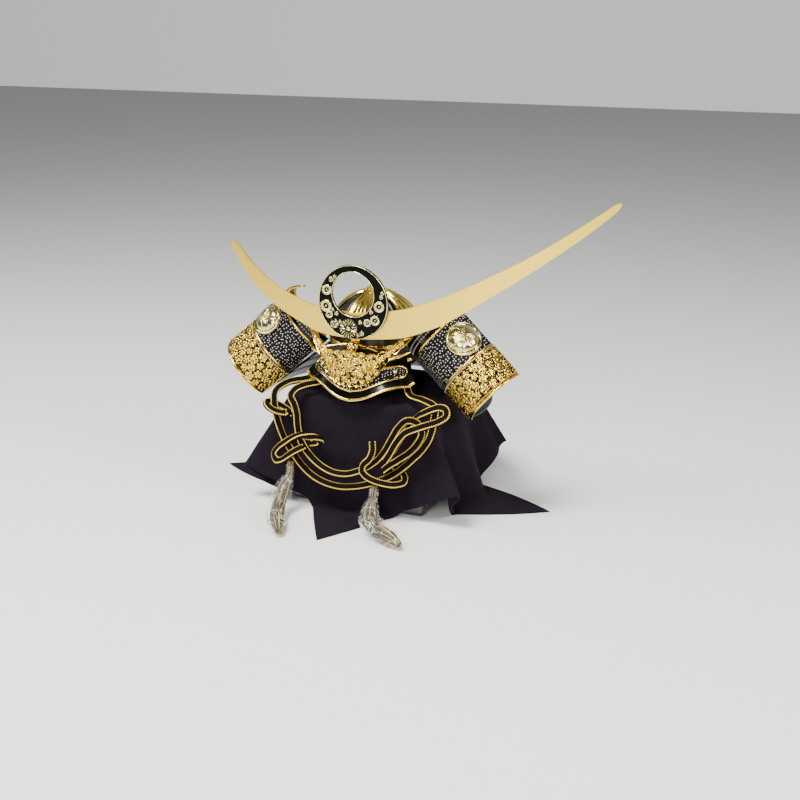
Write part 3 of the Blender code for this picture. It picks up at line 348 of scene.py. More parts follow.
def make_piece(name, shape, finishes, slot, sharp=40, mirror=False, depth=None):
    """Makes a closed mesh object from a shape, its finish numbers included, and seats it."""
    points, faces, places, *numbers = shape
    mesh = bpy.data.meshes.new(name)
    if mirror:
        points = points * np.array((-1, 1, 1))
        faces = [face[::-1] for face in faces]
    mesh.from_pydata(points.tolist(), [], faces)
    index = np.empty(len(mesh.loops), int)
    mesh.loops.foreach_get("vertex_index", index)
    mesh.uv_layers.new(name="surface").data.foreach_set("uv", places[index].ravel())
    if depth is not None:
        mesh.attributes.new("relief", "FLOAT", "POINT").data.foreach_set("value", depth)
    for finish in finishes if isinstance(finishes, (list, tuple)) else [finishes]:
        mesh.materials.append(finish)
    if numbers:
        mesh.polygons.foreach_set("material_index", numbers[0])
    weld = bmesh.new()
    weld.from_mesh(mesh)
    bmesh.ops.remove_doubles(weld, verts=weld.verts, dist=1e-6)
    bmesh.ops.recalc_face_normals(weld, faces=weld.faces)
    weld.to_mesh(mesh)
    weld.free()
    mesh.shade_smooth()
    mesh.set_sharp_from_angle(angle=math.radians(sharp))
    piece = bpy.data.objects.new(name, mesh)
    bpy.context.scene.collection.objects.link(piece)
    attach(piece, "root")
    return piece


def bead_tree():
    """Geometry nodes that string beads along lines, turned to follow them."""
    tree = bpy.data.node_groups.new("strung_beads", "GeometryNodeTree")
    face = tree.interface
    face.new_socket("Lines", in_out="INPUT", socket_type="NodeSocketGeometry")
    for name in ("Pitch", "Radius", "Length"):
        face.new_socket(name, in_out="INPUT", socket_type="NodeSocketFloat")
    face.new_socket("Finish", in_out="INPUT", socket_type="NodeSocketMaterial")
    face.new_socket("Beads", in_out="OUTPUT", socket_type="NodeSocketGeometry")
    given = add_node(tree, "NodeGroupInput").outputs
    spaced = add_node(tree, "GeometryNodeResampleCurve", {"Curve": given["Lines"], "Length": given["Pitch"]},
                      mode="LENGTH")
    bead = add_node(tree, "GeometryNodeMeshUVSphere", {"Segments": 7, "Rings": 5, "Radius": given["Radius"]})
    tangent = add_node(tree, "GeometryNodeInputTangent").outputs["Tangent"]
    turned = add_node(tree, "FunctionNodeAlignEulerToVector", {"Vector": tangent}, axis="Z")
    stretch = add_node(tree, "ShaderNodeCombineXYZ", {"X": 1.0, "Y": 1.0, "Z": given["Length"]})
    strung = add_node(tree, "GeometryNodeInstanceOnPoints", {
        "Points": spaced.outputs["Curve"],
        "Instance": bead.outputs["Mesh"],
        "Rotation": turned.outputs["Rotation"],
        "Scale": stretch.outputs["Vector"],
    })
    loose = add_node(tree, "GeometryNodeRealizeInstances", {"Geometry": strung.outputs["Instances"]})
    smooth = add_node(tree, "GeometryNodeSetShadeSmooth", {"Geometry": loose.outputs["Geometry"]})
    coloured = add_node(tree, "GeometryNodeSetMaterial", {
        "Geometry": smooth.outputs["Geometry"], "Material": given["Finish"],
    })
    add_node(tree, "NodeGroupOutput", {"Beads": coloured.outputs["Geometry"]})
    return tree


STRUNG_BEADS = bead_tree()


def string_beads(name, lines, pitch, radius, length, finish):
    """One mesh of beads on the given lines, each line a list of points."""
    curve = bpy.data.curves.new(name, "CURVE")
    curve.dimensions = "3D"
    for line in lines:
        spline = curve.splines.new("POLY")
        spline.points.add(len(line) - 1)
        spline.points.foreach_set("co", np.concatenate([line, np.ones((len(line), 1))], axis=1).ravel())
    strand = bpy.data.objects.new(name + "_lines", curve)
    bpy.context.scene.collection.objects.link(strand)
    beads = strand.modifiers.new("Beads", "NODES")
    beads.node_group = STRUNG_BEADS
    wanted = {"Pitch": pitch, "Radius": radius, "Length": length, "Finish": finish}
    for socket in STRUNG_BEADS.interface.items_tree:
        if socket.in_out == "INPUT" and socket.name in wanted:
            beads[socket.identifier] = wanted[socket.name]
    ready = strand.evaluated_get(bpy.context.evaluated_depsgraph_get())
    mesh = bpy.data.meshes.new_from_object(ready)
    mesh.name = name
    bpy.data.objects.remove(strand)
    if not mesh.materials:
        mesh.materials.append(finish)
    piece = bpy.data.objects.new(name, mesh)
    bpy.context.scene.collection.objects.link(piece)
    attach(piece, "root")
    return piece


# Braided rayon cord: near-black, with the slanting plaits about 1.6 mm apart, their crests lightened by a
# painted highlight
black_braid, tree, shader = start_finish("black_braided_rayon", "#030202", 0.8, Specular_IOR_Level=0.08)
parts = add_node(tree, "ShaderNodeSeparateXYZ", {"Vector": surface_place(tree)}).outputs
plaits = []
for way in (1.0, -1.0):
    slant = work_out(tree, "MULTIPLY", parts["X"], way)
    mixed = work_out(tree, "ADD", parts["Y"], slant)
    turns = work_out(tree, "MULTIPLY", mixed, TAU / PLAIT_PITCH)
    plaits.append(work_out(tree, "SINE", turns))
crossed = work_out(tree, "MULTIPLY", *plaits)
raise_bump(tree, shader, crossed, PLAIT_HEIGHT)
# painted highlight: lighter brown on the crests where the plaits cross
two_tone(tree, shader, spread(tree, crossed, 0.55, 1.0), "#060505", "#1e1812")

# Gold-wound thread: each bead is one turn of foil round the core
gold_thread, tree, shader = start_finish("gold_foil_thread", "#f7cf4a", 0.36, 0.7)
grain(tree, shader, object_place(tree), 2500, 0.00005, (0.28, 0.5))


def braided_cord(name, route, diameter):
    centre = smooth_route(np.array(route) * MM, 1.0 * MM)
    body = sweep(centre, diameter / 2 - BRAID_INSET, CORD_SIDES)
    cord = make_piece(name + "_braid", body, black_braid, "black_gold_braid", sharp=60)
    run, out = line_frames(centre, np.array(CORD_FACE))
    side = np.cross(run, out)
    lines = []
    for turn in map(math.radians, THREAD_ANGLES):
        reach = diameter / 2 - THREAD_BEAD_SUNK * THREAD_BEAD
        lines.append(centre + reach * (math.cos(turn) * out + math.sin(turn) * side))
    threads = string_beads(name + "_threads", lines, THREAD_PITCH, THREAD_BEAD, THREAD_BEAD_STRETCH,
                           gold_thread)
    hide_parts(name)
    return cord, threads, centre


for name, route in {**CORD_ROUTES, **KNOT_ROUTES}.items():
    diameter = CORD_DIAMETER if name in CORD_ROUTES else KNOT_DIAMETER
    cord, threads, centre = braided_cord(name, route, diameter)


# Tassels: black and gold silk tied to the cord's ends, still in the clear crinkled film that
# they are sold in. The silk is a sheaf of fine strands, the film a thin wrinkled sleeve.

TASSEL_RADIUS = 7.5 * MM
TASSEL_ROUTES = {
    "tassel_left": (
        (-50.5, -85.2, 46.6), (-51.5, -87, 34), (-54, -93, 24), (-54, -102, 14), (-50, -114, 8.8),
        (-42, -129, 8.1), (-32, -146, 6),
    ),
    "tassel_right": (
        (30.5, -86, 35.8), (30, -87, 27), (29, -90, 19), (30.5, -97, 12), (37, -108, 9.9),
        (50, -119, 8.7), (65, -127.5, 8), (73, -131.5, 5.5),
    ),
}
TASSEL_ALONG = (0.0, 0.14, 0.22, 0.4, 0.65, 0.85, 1.0)
TASSEL_SIZE = (0.42, 0.44, 0.78, 1.0, 1.06, 0.86, 0.42)
SILK_ALONG = (0, 0.1, 0.3, 0.9, 1)
SILK_SIZE = (0.35, 0.5, 0.72, 0.85, 0.6)
SILK_IN_FILM = 0.82
FILM_START = 4
FILM_SIDES = 26
FILM_LIFT = 0.4 * MM

# Crumpled polypropylene film: clear, with hard white glints painted along each crease
clear_film, tree, shader = start_finish("crumpled_clear_film", "#e9e6df", 0.07)
clear_film.surface_render_method = "BLENDED"
place = object_place(tree)
grain(tree, shader, place, 190, 0.0012)
crease_glints = add_node(tree, "ShaderNodeTexNoise", {
    "Vector": place,
    "Scale": 70.0,
    "Detail": 2.0,
    "Distortion": 1.0,
})
ridge = work_out(tree, "SUBTRACT", crease_glints.outputs["Fac"], 0.5)
ridge = work_out(tree, "ABSOLUTE", ridge)
# painted highlight: the film turns opaque white along the crease lines, standing in for glints
tree.links.new(spread(tree, ridge, 0.003, 0.013, 0.6, 0.05), shader.inputs["Alpha"])

# Tassel silk: black strands with pale gold ones between them
tassel_silk, tree, shader = start_finish("tassel_silk", "#120e0b", 0.5)
strands = add_node(tree, "ShaderNodeMapping", {"Vector": surface_place(tree), "Scale": (900, 20, 1)})
stripe = add_node(tree, "ShaderNodeTexNoise", {"Vector": strands.outputs[0], "Scale": 1.0}).outputs["Fac"]
two_tone(tree, shader, spread(tree, stripe, 0.56, 0.62), "#060504", "#d9b14a")
raise_bump(tree, shader, stripe, 0.2 * MM)


def tassel(name, route):
    line = smooth_route(np.array(route) * MM, 0.9 * MM)
    share = np.linspace(0, 1, len(line))
    size = np.interp(share, TASSEL_ALONG, TASSEL_SIZE) * TASSEL_RADIUS
    silk_size = np.minimum(size * SILK_IN_FILM, np.interp(share, SILK_ALONG, SILK_SIZE) * TASSEL_RADIUS)
    silk = make_piece(name + "_silk", sweep(line, silk_size, 48, lobes=16, lobe_depth=0.07), tassel_silk,
                      "tassel_silk", sharp=60)
    points, faces, places = sweep(line[FILM_START:], size[FILM_START:], FILM_SIDES)
    for i, point in enumerate(points):
        fold = abs(noise.noise(Vector(point) * 230)) + 0.5 * abs(noise.noise(Vector(point) * 520))
        centre = line[min(len(line) - 1, FILM_START + i // (FILM_SIDES + 1))]
        points[i] = centre + (point - centre) * (1.4 - 0.6 * fold)
    points[:, 2] = np.maximum(points[:, 2], FILM_LIFT)
    make_piece(name + "_film", (points, faces, places), clear_film, "tassel_silk", sharp=14)
    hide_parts(name)


for name, route in TASSEL_ROUTES.items():
    tassel(name, route)


# Stand: a black lacquered board box, mostly hidden under the cloth, and a plain turned wooden
# post with a round pad that carries the bowl from inside.

BOX_WIDTH = 128 * MM
BOX_DEPTH = 114 * MM
BOX_HEIGHT = 100 * MM
BOX_ROUNDING = 4 * MM
GAP = 0.3 * MM

# Sprayed lacquer on board: deep gloss over a faint orange-peel
board_lacquer, tree, shader = start_finish("black_lacquered_board", "#0a0a0b", 0.16, Coat_Weight=0.5)
grain(tree, shader, object_place(tree), 180, 0.0001)
# Turned beech, sanded and waxed: long grain up the post
beech, tree, shader = start_finish("turned_beech", "#b98f5c", 0.55)
stretched = add_node(tree, "ShaderNodeMapping", {"Vector": object_place(tree), "Scale": (260, 260, 18)})
fibre = grain(tree, shader, stretched.outputs[0], 1, 0.0001)
two_tone(tree, shader, fibre, "#a57a48", "#cfa873")


def dress(node, finish):
    """Gives a CAD node, whose shape stays, its finish."""
    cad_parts[node].material_slots[0].material = finish


dress("stand_box", board_lacquer)
dress("stand_post", beech)


# Cloth: one square of dark purple crepe, laid cornerwise over the box so that it falls in folds
# at the box's corners and its own corners lie out on the floor. Nothing fixes it.

CLOTH_SIDE = 326 * MM
CLOTH_THICKNESS = 1 * MM
CLOTH_EASE = 2 * MM
CLOTH_FLOOR_BEND = 5 * MM
CLOTH_TOP = BOX_HEIGHT + GAP + CLOTH_THICKNESS / 2
CLOTH_LOW = CLOTH_THICKNESS / 2 + GAP
FOLD_ANGLE = (-90, -66, -55, -47, -39, -31, -22, 0, 27, 38, 46, 58, 70, 90)
FOLD_LEAN = (2, 3, 4, 13, 33, 21, 10, 20, 10, 24, 33, 14, 8, 12)
FOLD_TURN = (0, 0, 1, 3, 5, -3, -2, 0, 2, 3, -4, -2, 0, 0)
CLOTH_ANGLES = 344
CLOTH_RINGS = 77
CLOTH_TOP_RINGS = 14
FOLD_SET_AT = 0.7 * BOX_HEIGHT
FOLD_TWIST = 0.6


def smooth_step(share):
    return share * share * (3 - 2 * share)


def read(at, xs, ys):
    """The value at a place in a table, with a flat tangent at each row."""
    for x0, x1, y0, y1 in zip(xs, xs[1:], ys, ys[1:]):
        if at <= x1:
            return y0 + (y1 - y0) * smooth_step(max(0.0, (at - x0) / (x1 - x0)))
    return ys[-1]


def box_reach(angle):
    across = abs(math.cos(angle)) / (BOX_WIDTH / 2)
    along = abs(math.sin(angle)) / (BOX_DEPTH / 2)
    return (across**40 + along**40) ** (-1 / 40) + CLOTH_EASE


def drape(run, lean):
    """How far out and how far down the cloth is after a run of cloth from the box's top."""
    turn = math.radians(90 - lean)
    edge = BOX_ROUNDING + GAP + CLOTH_THICKNESS / 2
    low = CLOTH_FLOOR_BEND
    height = CLOTH_TOP - CLOTH_LOW
    straight = (height - (edge + low) * (1 - math.cos(turn))) / math.sin(turn)
    part = min(run, edge * turn)
    out = edge * math.sin(part / edge)
    down = edge * (1 - math.cos(part / edge))
    run -= part
    part = min(max(run, 0), straight)
    out += part * math.cos(turn)
    down += part * math.sin(turn)
    run -= part
    part = min(max(run, 0), low * turn)
    out += low * (math.sin(turn) - math.sin(turn - part / low))
    down += low * (math.cos(turn - part / low) - math.cos(turn))
    run -= part
    return out + max(run, 0), min(down, height)


def cloth_point(angle, distance):
    """Where a point of the sheet lies, and how far it has fallen."""
    start = box_reach(angle) - BOX_ROUNDING
    if distance <= start:
        return (distance * math.cos(angle), distance * math.sin(angle), CLOTH_TOP), 0.0
    folded = math.degrees(math.asin(max(-1, min(1, math.sin(angle)))))
    lean = read(folded, FOLD_ANGLE, FOLD_LEAN)
    turn = read(folded, FOLD_ANGLE, FOLD_TURN)
    side = 1 if math.cos(angle) >= 0 else -1
    out, down = drape(distance - start, lean)
    plan = angle + side * math.radians(turn) * smooth_step(min(1, down / FOLD_SET_AT))
    foot = Vector((math.cos(angle), math.sin(angle), 0)) * start
    away = Vector((math.cos(plan), math.sin(plan), 0)) * out
    twist = foot.length * (Vector((math.cos(plan), math.sin(plan), 0)) - foot.normalized())
    return tuple(foot + away + twist * FOLD_TWIST + Vector((0, 0, CLOTH_TOP - down))), down / BOX_HEIGHT


def shell(net, low, high, away, wrap=False, bump=0.0, lip=0.35):
    """A closed wall on a net of points, from low to high along its outward side."""
    rows, columns, _ = net.shape
    if wrap:
        ring = net[:, :-1]
        across = np.roll(ring, -1, 1) - np.roll(ring, 1, 1)
        across = np.concatenate([across, across[:, :1]], axis=1)
    else:
        across = np.gradient(net, axis=1)
    out = unit(np.cross(across, np.gradient(net, axis=0)))
    if ((net - np.array(away)) * out).sum() < 0:
        out = -out
    tips = [np.abs(net[row] - net[row, :1]).max() < 1e-9 for row in (0, -1)]
    for tip, row, near in zip(tips, (0, -1), (1, -2)):
        if tip:
            out[row] = unit(out[near].mean(axis=0))
    bump = np.broadcast_to(bump, (rows, columns))
    outer = net + out * (high + bump)[..., None]
    inner = net + out * low
    index = np.arange(rows * columns).reshape(rows, columns)
    if wrap:
        ends = [(index[0], net[0] - net[1]), (index[-1], net[-1] - net[-2])]
        loops = [end for end, tip in zip(ends, tips) if not tip]
    else:
        left = net[:, 0] - net[:, 1]
        right = net[:, -1] - net[:, -2]
        loops = [(
            np.concatenate([index[0], index[1:, -1], index[-1, -2::-1], index[-2::-1, 0]]),
            np.concatenate([net[0] - net[1], right[1:], (net[-1] - net[-2])[-2::-1], left[-2::-1]]),
        )]
    points, faces, places = net_mesh(outer)
    behind = inner.reshape(-1, 3)
    start = len(points)
    faces += [tuple(i + start for i in face[::-1]) for face in faces]
    points = np.concatenate([points, behind])
    places = np.concatenate([places, places])
    wall = abs(high - low)
    for loop, beyond in loops:
        middle = (points[loop] + behind[loop]) / 2 + unit(beyond) * wall * lip
        first = len(points)
        points = np.concatenate([points, middle])
        places = np.concatenate([places, places[loop]])
        for k in range(len(loop) - 1):
            a, b = int(loop[k]), int(loop[k + 1])
            faces.append((a, b, first + k + 1, first + k))
            faces.append((first + k, first + k + 1, b + start, a + start))
    return points, faces, places


# Rayon crepe, woven and dyed: dark plum with a fine pebbled weave and a soft sheen
purple_crepe, tree, shader = start_finish("purple_rayon_crepe", "#0d090d", 0.9, Sheen_Weight=0.06,
                                          Specular_IOR_Level=0.1)
shader.inputs["Sheen Tint"].default_value = hex_colour("#8b7a92")
place = object_place(tree)
grain(tree, shader, place, 1500, 0.00018)
slub = add_node(tree, "ShaderNodeTexNoise", {"Vector": place, "Scale": 60.0, "Detail": 4.0})
two_tone(tree, shader, slub.outputs["Fac"], "#0f0a11", "#181019")

net = np.zeros((CLOTH_RINGS, CLOTH_ANGLES + 1, 3))
for j, angle in enumerate(np.linspace(0, TAU, CLOTH_ANGLES + 1)):
    start = box_reach(angle) - BOX_ROUNDING
    reach = CLOTH_SIDE / math.sqrt(2) / (abs(math.cos(angle)) + abs(math.sin(angle)))
    top_run = np.linspace(0, start, CLOTH_TOP_RINGS)
    distances = [*top_run, *np.linspace(start, reach, CLOTH_RINGS - CLOTH_TOP_RINGS + 1)[1:]]
    for i, distance in enumerate(distances):
        point, fallen = cloth_point(angle, distance)
        ripple = noise.noise(Vector((9 * math.cos(angle), 9 * math.sin(angle), 14 * distance)))
        crease = abs(noise.noise(Vector((4 * math.cos(angle) + 3, 4 * math.sin(angle), 22 * distance))))
        swell = 2.2 * max(0.0, ripple) + 1.4 * (0.35 - crease) * (crease < 0.35)
        push = fallen * (1 - fallen**6) * swell * MM
        net[i, j] = np.array(point) + push * np.array((math.cos(angle), math.sin(angle), 0))
net[:, -1] = net[:, 0]
wall = shell(net, -CLOTH_THICKNESS / 2, CLOTH_THICKNESS / 2, (0, 0, 0), wrap=True)
cloth = make_piece("purple_cloth", wall, purple_crepe, "purple_cloth", sharp=80)
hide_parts("cloth")


# Bowl: sixteen iron plates with raised ribs between them, russet-black, open below.

BOWL_RADIUS = 40 * MM
BOWL_BACK_STRETCH = 1.08
BOWL_Y = -13 * MM
BOWL_CENTRE_Z = 149 * MM
BOWL_RIM_Z = 130 * MM
BOWL_WALL = 1.5 * MM
BOWL_RIBS = 16
RIB_HEIGHT = 0.9 * MM
RIB_HALF_SHARE = 0.11
CROWN_HOLE_RADIUS = 4 * MM
BOWL_MIDDLE = (0, BOWL_Y, BOWL_CENTRE_Z)

# Lacquered iron: warm near-black with a soft, uneven gloss
russet_iron, tree, shader = start_finish("russet_lacquered_iron", "#120c09", 0.32, 0.4)
grain(tree, shader, object_place(tree), 420, 0.0002, (0.26, 0.44))


def bowl_place(azimuth, polar, outset=0.0):
    """Places on the bowl; azimuth 0 is the front, polar 0 the top."""
    radius = BOWL_RADIUS + outset
    x = radius * np.sin(polar) * np.sin(azimuth)
    y = -radius * np.sin(polar) * np.cos(azimuth)
    y = np.where(y > 0, y * BOWL_BACK_STRETCH, y)
    return np.stack([x, BOWL_Y + y, BOWL_CENTRE_Z + radius * np.cos(polar) + 0 * x], axis=-1)


azimuth = np.linspace(0, TAU, 12 * BOWL_RIBS + 1)[None, :]
polar = np.linspace(math.asin(CROWN_HOLE_RADIUS / BOWL_RADIUS), math.pi / 2, 44)[:, None]
from_rib = np.abs((azimuth * BOWL_RIBS / TAU) % 1 - 0.5)
rib = np.clip(1 - from_rib / RIB_HALF_SHARE, 0, 1) ** 0.6 * RIB_HEIGHT * np.minimum(1, 2 * np.sin(polar))
net = bowl_place(azimuth, polar, rib)
drop = np.linspace(0, 1, 12)[1:, None, None] * np.array((0, 0, BOWL_RIM_Z - BOWL_CENTRE_Z))
net = np.concatenate([net, net[-1][None] + drop])
bowl = make_piece("helmet_bowl", shell(net, -BOWL_WALL, 0, BOWL_MIDDLE, wrap=True), russet_iron, "dark_iron")
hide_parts("bowl")


# Crown plates: four fluted strips of gilt brass, pinned from the crown down each side.

CROWN_PLATE_THICKNESS = 0.8 * MM
CROWN_PLATE_HALF_ANGLE = 27
CROWN_PLATE_TOP = 17
CROWN_PLATE_FOOT = 72
FLUTE_DEPTH = 1.5 * RIB_HEIGHT
SCALLOP = np.radians(2.2)

# Gilt brass: rolled, plated and polished, with faint handling scuffs
gilt_brass, tree, shader = start_finish("polished_gilt_brass", "#eccb5c", 0.2, 1.0)
grain(tree, shader, object_place(tree), 420, 0.00002, (0.14, 0.28))

half = math.radians(CROWN_PLATE_HALF_ANGLE)
for name, middle in (("front", 0), ("right", 90), ("back", 180), ("left", 270)):
    share = np.linspace(-1, 1, 81)[None, :]
    flute = np.abs(np.cos(2 * TAU * (share + 1) / 2)) ** 1.4 * FLUTE_DEPTH
    polar = np.radians(np.linspace(CROWN_PLATE_TOP, CROWN_PLATE_FOOT, 40))[:, None]
    scallop = SCALLOP * np.abs(np.cos(2 * TAU * share / 2))
    scallop = scallop * (polar - polar[0]) / (polar[-1] - polar[0])
    net = bowl_place(math.radians(middle) + half * share, polar + scallop - SCALLOP,
                     RIB_HEIGHT + 1.4 * GAP + FLUTE_DEPTH - flute)
    wall = shell(net, 0, CROWN_PLATE_THICKNESS, BOWL_MIDDLE)
    plate = make_piece(f"fluted_plate_{name}", wall, gilt_brass, "gold_plate")
    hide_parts(f"crown_plate_{name}")


# Base band: a narrow gilt strip pinned round the foot of the bowl, seen above the casting. Its
# two edges are raised.

BAND_FOOT_Z = 147.5 * MM
BAND_WIDTH = 3.0 * MM
BAND_THICKNESS = 0.3 * MM
BAND_EDGE_HEIGHT = 0.25 * MM

azimuth = np.linspace(0, TAU, 241)[None, :]
level = np.linspace(0, 1, 12)[:, None]
net = bowl_place(azimuth, math.pi / 2 + 0 * level, RIB_HEIGHT + 0.1 * MM)
net[..., 2] = BAND_FOOT_Z + BAND_WIDTH * level
edging = BAND_EDGE_HEIGHT * (np.abs(2 * level - 1) > 0.7)
band = shell(net, 0, BAND_THICKNESS, BOWL_MIDDLE, wrap=True, bump=edging)
make_piece("bowl_base_band", band, gilt_brass, "gold_plate")


# Finial: a stack of petalled collars of pale gilt brass round the opening at the crown.

FINIAL_RADIUS = 10.5 * MM
FINIAL_HEIGHT = 7 * MM
FINIAL_PROFILE = (
    (0.001, 0.92), (0.24, 0.98), (0.30, 1.0), (0.44, 0.94), (0.52, 0.86), (0.50, 0.70), (0.64, 0.66),
    (0.78, 0.56), (0.74, 0.40), (0.9, 0.34), (1.0, 0.22), (0.96, 0.04), (0.30, 0.0), (0.001, 0.0),
)


def shade_and_tone_relief(tree, shader, low, high, dark, light):
    """Darkens the low places of a relief, by the height that its mesh carries: painted shade on the cast
    gilt, toning on the silver.
    """
    height = add_node(tree, "ShaderNodeAttribute", attribute_name="relief")
    two_tone(tree, shader, spread(tree, height.outputs["Fac"], low, high), dark, light)


# Cast gilt brass: struck relief, with painted shade darkening its low places
cast_gilt, tree, shader = start_finish("cast_gilt_relief", "#f3d552", 0.2, 1.0)
grain(tree, shader, object_place(tree), 900, 0.00005, (0.12, 0.24))
# painted shade: dark brown in the relief's hollows, shading to pale gold on its heights
shade_and_tone_relief(tree, shader, 0.2, 0.9, "#2a1803", "#fdd75c")


def dense_profile(profile, times):
    profile = np.array(profile, float)
    at = np.linspace(0, len(profile) - 1, (len(profile) - 1) * times + 1)
    return np.stack([np.interp(at, np.arange(len(profile)), profile[:, k]) for k in range(2)], axis=1)


profile = dense_profile(FINIAL_PROFILE, 5)
turn = np.linspace(0, TAU, 129)
petal = 1 + 0.07 * np.cos(8 * turn)
radius = profile[:, :1] * FINIAL_RADIUS * petal[None, :]
top = BOWL_CENTRE_Z + BOWL_RADIUS + GAP
net = np.stack([
    radius * np.cos(turn), BOWL_Y + radius * np.sin(turn), top + profile[:, 1:] * FINIAL_HEIGHT + 0 * radius,
], axis=-1)
points, faces, places = net_mesh(net)
finial = make_piece("petalled_finial", (points, faces, places), cast_gilt, "pale_gold",
                    depth=np.ones(len(points)))
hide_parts("crown_finial")


# Visor: a shallow black lacquered plate at the bowl's front rim, its edge bound in gilt tube. A
# dotted leather panel lies on it inside a gilt wire, held by two round-headed rivets.

VISOR_HALF_WIDTH = 50 * MM
VISOR_DEPTH = 16.4 * MM
VISOR_DROP = 23.3 * MM
VISOR_THICKNESS = 1.5 * MM
VISOR_RIM_RADIUS = 1.4 * MM
PANEL_THICKNESS = 1.2 * MM
PANEL_RIM_RADIUS = 0.9 * MM
RIVET_RADIUS = 2.2 * MM
VISOR_TOP_Z = BOWL_RIM_Z + 3 * MM
VISOR_ACROSS = (0.0, 0.2, 0.4, 0.6, 0.8, 0.92, 1.0)
VISOR_BACK = (0.00, 0.06, 0.23, 0.53, 0.94, 1.24, 1.52)
VISOR_RISE = (0.00, 0.07, 0.24, 0.43, 0.52, 0.50, 0.62)
PANEL_ACROSS = (0.0, 0.42, 0.74, 0.86, 0.90)
PANEL_TOP = (0.28, 0.28, 0.30, 0.36, 0.47)
PANEL_BOTTOM = (0.76, 0.74, 0.71, 0.64, 0.53)
UNDER_VISOR = (0, BOWL_Y, 60 * MM)
RIVET_ACROSS = 0.76
RIVET_DOWN = 0.47
DOT_PITCH = 2.8 * MM
DOT_EDGE = (0.135, 0.17)

# Black lacquer on metal: many rubbed coats, almost a mirror
visor_lacquer, tree, shader = start_finish("rubbed_black_lacquer", "#030304", 0.14, Specular_IOR_Level=0.25)
grain(tree, shader, object_place(tree), 120, 0.00008, (0.1, 0.2))

# Printed leather: black, strewn with small white dots about 2.8 mm apart in uneven rows
dotted_leather, tree, shader = start_finish("dotted_black_leather", "#060506", 0.5, Specular_IOR_Level=0.15)
strewn = add_node(tree, "ShaderNodeTexVoronoi", {
    "Vector": surface_place(tree),
    "Scale": 1 / DOT_PITCH,
    "Randomness": 0.6,
}, voronoi_dimensions="2D")
dot = spread(tree, strewn.outputs["Distance"], *DOT_EDGE, 1.0, 0.0)
two_tone(tree, shader, dot, "#030203", "#e2dccf")
pores = add_node(tree, "ShaderNodeTexNoise", {"Vector": object_place(tree), "Scale": 1400.0})
raise_bump(tree, shader, pores.outputs["Fac"], 0.05 * MM)


def spline(at, xs, ys):
    """The value at a place in a table, on a smooth curve through its rows."""
    slopes = []
    for i in range(len(xs)):
        before = max(i - 1, 0)
        after = min(i + 1, len(xs) - 1)
        slopes.append((ys[after] - ys[before]) / (xs[after] - xs[before]))
    for i in range(len(xs) - 1):
        if at <= xs[i + 1] or i == len(xs) - 2:
            span = xs[i + 1] - xs[i]
            t = (at - xs[i]) / span
            bend = t * (1 - t) * (slopes[i] * (1 - t) - slopes[i + 1] * t) * span
            return ys[i] + (ys[i + 1] - ys[i]) * smooth_step(t) + bend
    return ys[-1]


def visor_point(across, down, outset=0.0):
    """A place on the visor; across runs -1 to 1, down 0 at the bowl to 1 at the edge."""
    share = abs(across)
    back = spline(share, VISOR_ACROSS, VISOR_BACK) * VISOR_DEPTH
    rise = spline(share, VISOR_ACROSS, VISOR_RISE) * VISOR_DROP
    seat = BOWL_RADIUS + RIB_HEIGHT + GAP + VISOR_THICKNESS / 2
    at_bowl = share * seat * 0.93
    low = Vector((
        across * VISOR_HALF_WIDTH,
        BOWL_Y - seat - VISOR_DEPTH + 1.4 * MM + back,
        VISOR_TOP_Z - VISOR_DROP - 3 * MM + rise,
    ))
    high = Vector((
        math.copysign(at_bowl, across),
        BOWL_Y - math.sqrt(seat**2 - at_bowl**2),
        VISOR_TOP_Z + 3 * MM * share,
    ))
    place = high.lerp(low, down)
    if outset:
        step = 0.02
        along = visor_point(across + step, down) - visor_point(across - step, down)
        fall = visor_point(across, down + step) - visor_point(across, down - step)
        place += outset * along.cross(fall).normalized() * -1
    return place


net = np.array([[visor_point(a, d) for a in np.linspace(-1, 1, 121)] for d in np.linspace(0, 1, 24)])
wall = shell(net, -VISOR_THICKNESS / 2, VISOR_THICKNESS / 2, UNDER_VISOR)
visor = make_piece("lacquered_visor", wall, visor_lacquer, "black_lacquer")
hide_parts("visor")
clear = VISOR_RIM_RADIUS + GAP * 1.7
edge = []
for across in np.linspace(-1, 1, 121):
    low = visor_point(across, 1)
    edge.append(low + (low - visor_point(across, 0.9)).normalized() * clear)
rim = make_piece("visor_gilt_rim", sweep(edge, VISOR_RIM_RADIUS, 14), gilt_brass, "gold_plate")
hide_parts("visor_rim")

reach = PANEL_ACROSS[-1]
wide = [math.sin(math.radians(a)) * reach for a in np.linspace(-90, 90, 81)]
net = []
for down in np.linspace(0, 1, 16):
    row = []
    for across in wide:
        high = spline(abs(across), PANEL_ACROSS, PANEL_TOP)
        low = spline(abs(across), PANEL_ACROSS, PANEL_BOTTOM)
        row.append(visor_point(across, high + (low - high) * down))
    net.append(row)
lift = VISOR_THICKNESS / 2 + GAP * 2
wall = shell(np.array(net), lift, lift + PANEL_THICKNESS, UNDER_VISOR)
panel = make_piece("visor_leather_panel", wall, dotted_leather, "dotted_leather")
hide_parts("visor_leather")
wider = 1 + (PANEL_RIM_RADIUS + GAP * 2.5) / (reach * VISOR_HALF_WIDTH)
margin = (PANEL_RIM_RADIUS + GAP * 1.8) / (VISOR_DEPTH + VISOR_DROP) * 1.35
border = []
for across in wide:
    low = spline(abs(across), PANEL_ACROSS, PANEL_BOTTOM)
    border.append(visor_point(across * wider, low + margin, lift + PANEL_RIM_RADIUS))
for across in reversed(wide[1:-1]):
    high = spline(abs(across), PANEL_ACROSS, PANEL_TOP)
    border.append(visor_point(across * wider, high - margin, lift + PANEL_RIM_RADIUS))
tube = sweep(border, PANEL_RIM_RADIUS, 12, closed=True)
wire = make_piece("visor_leather_wire", tube, gilt_brass, "gold_plate")
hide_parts("visor_leather_rim")


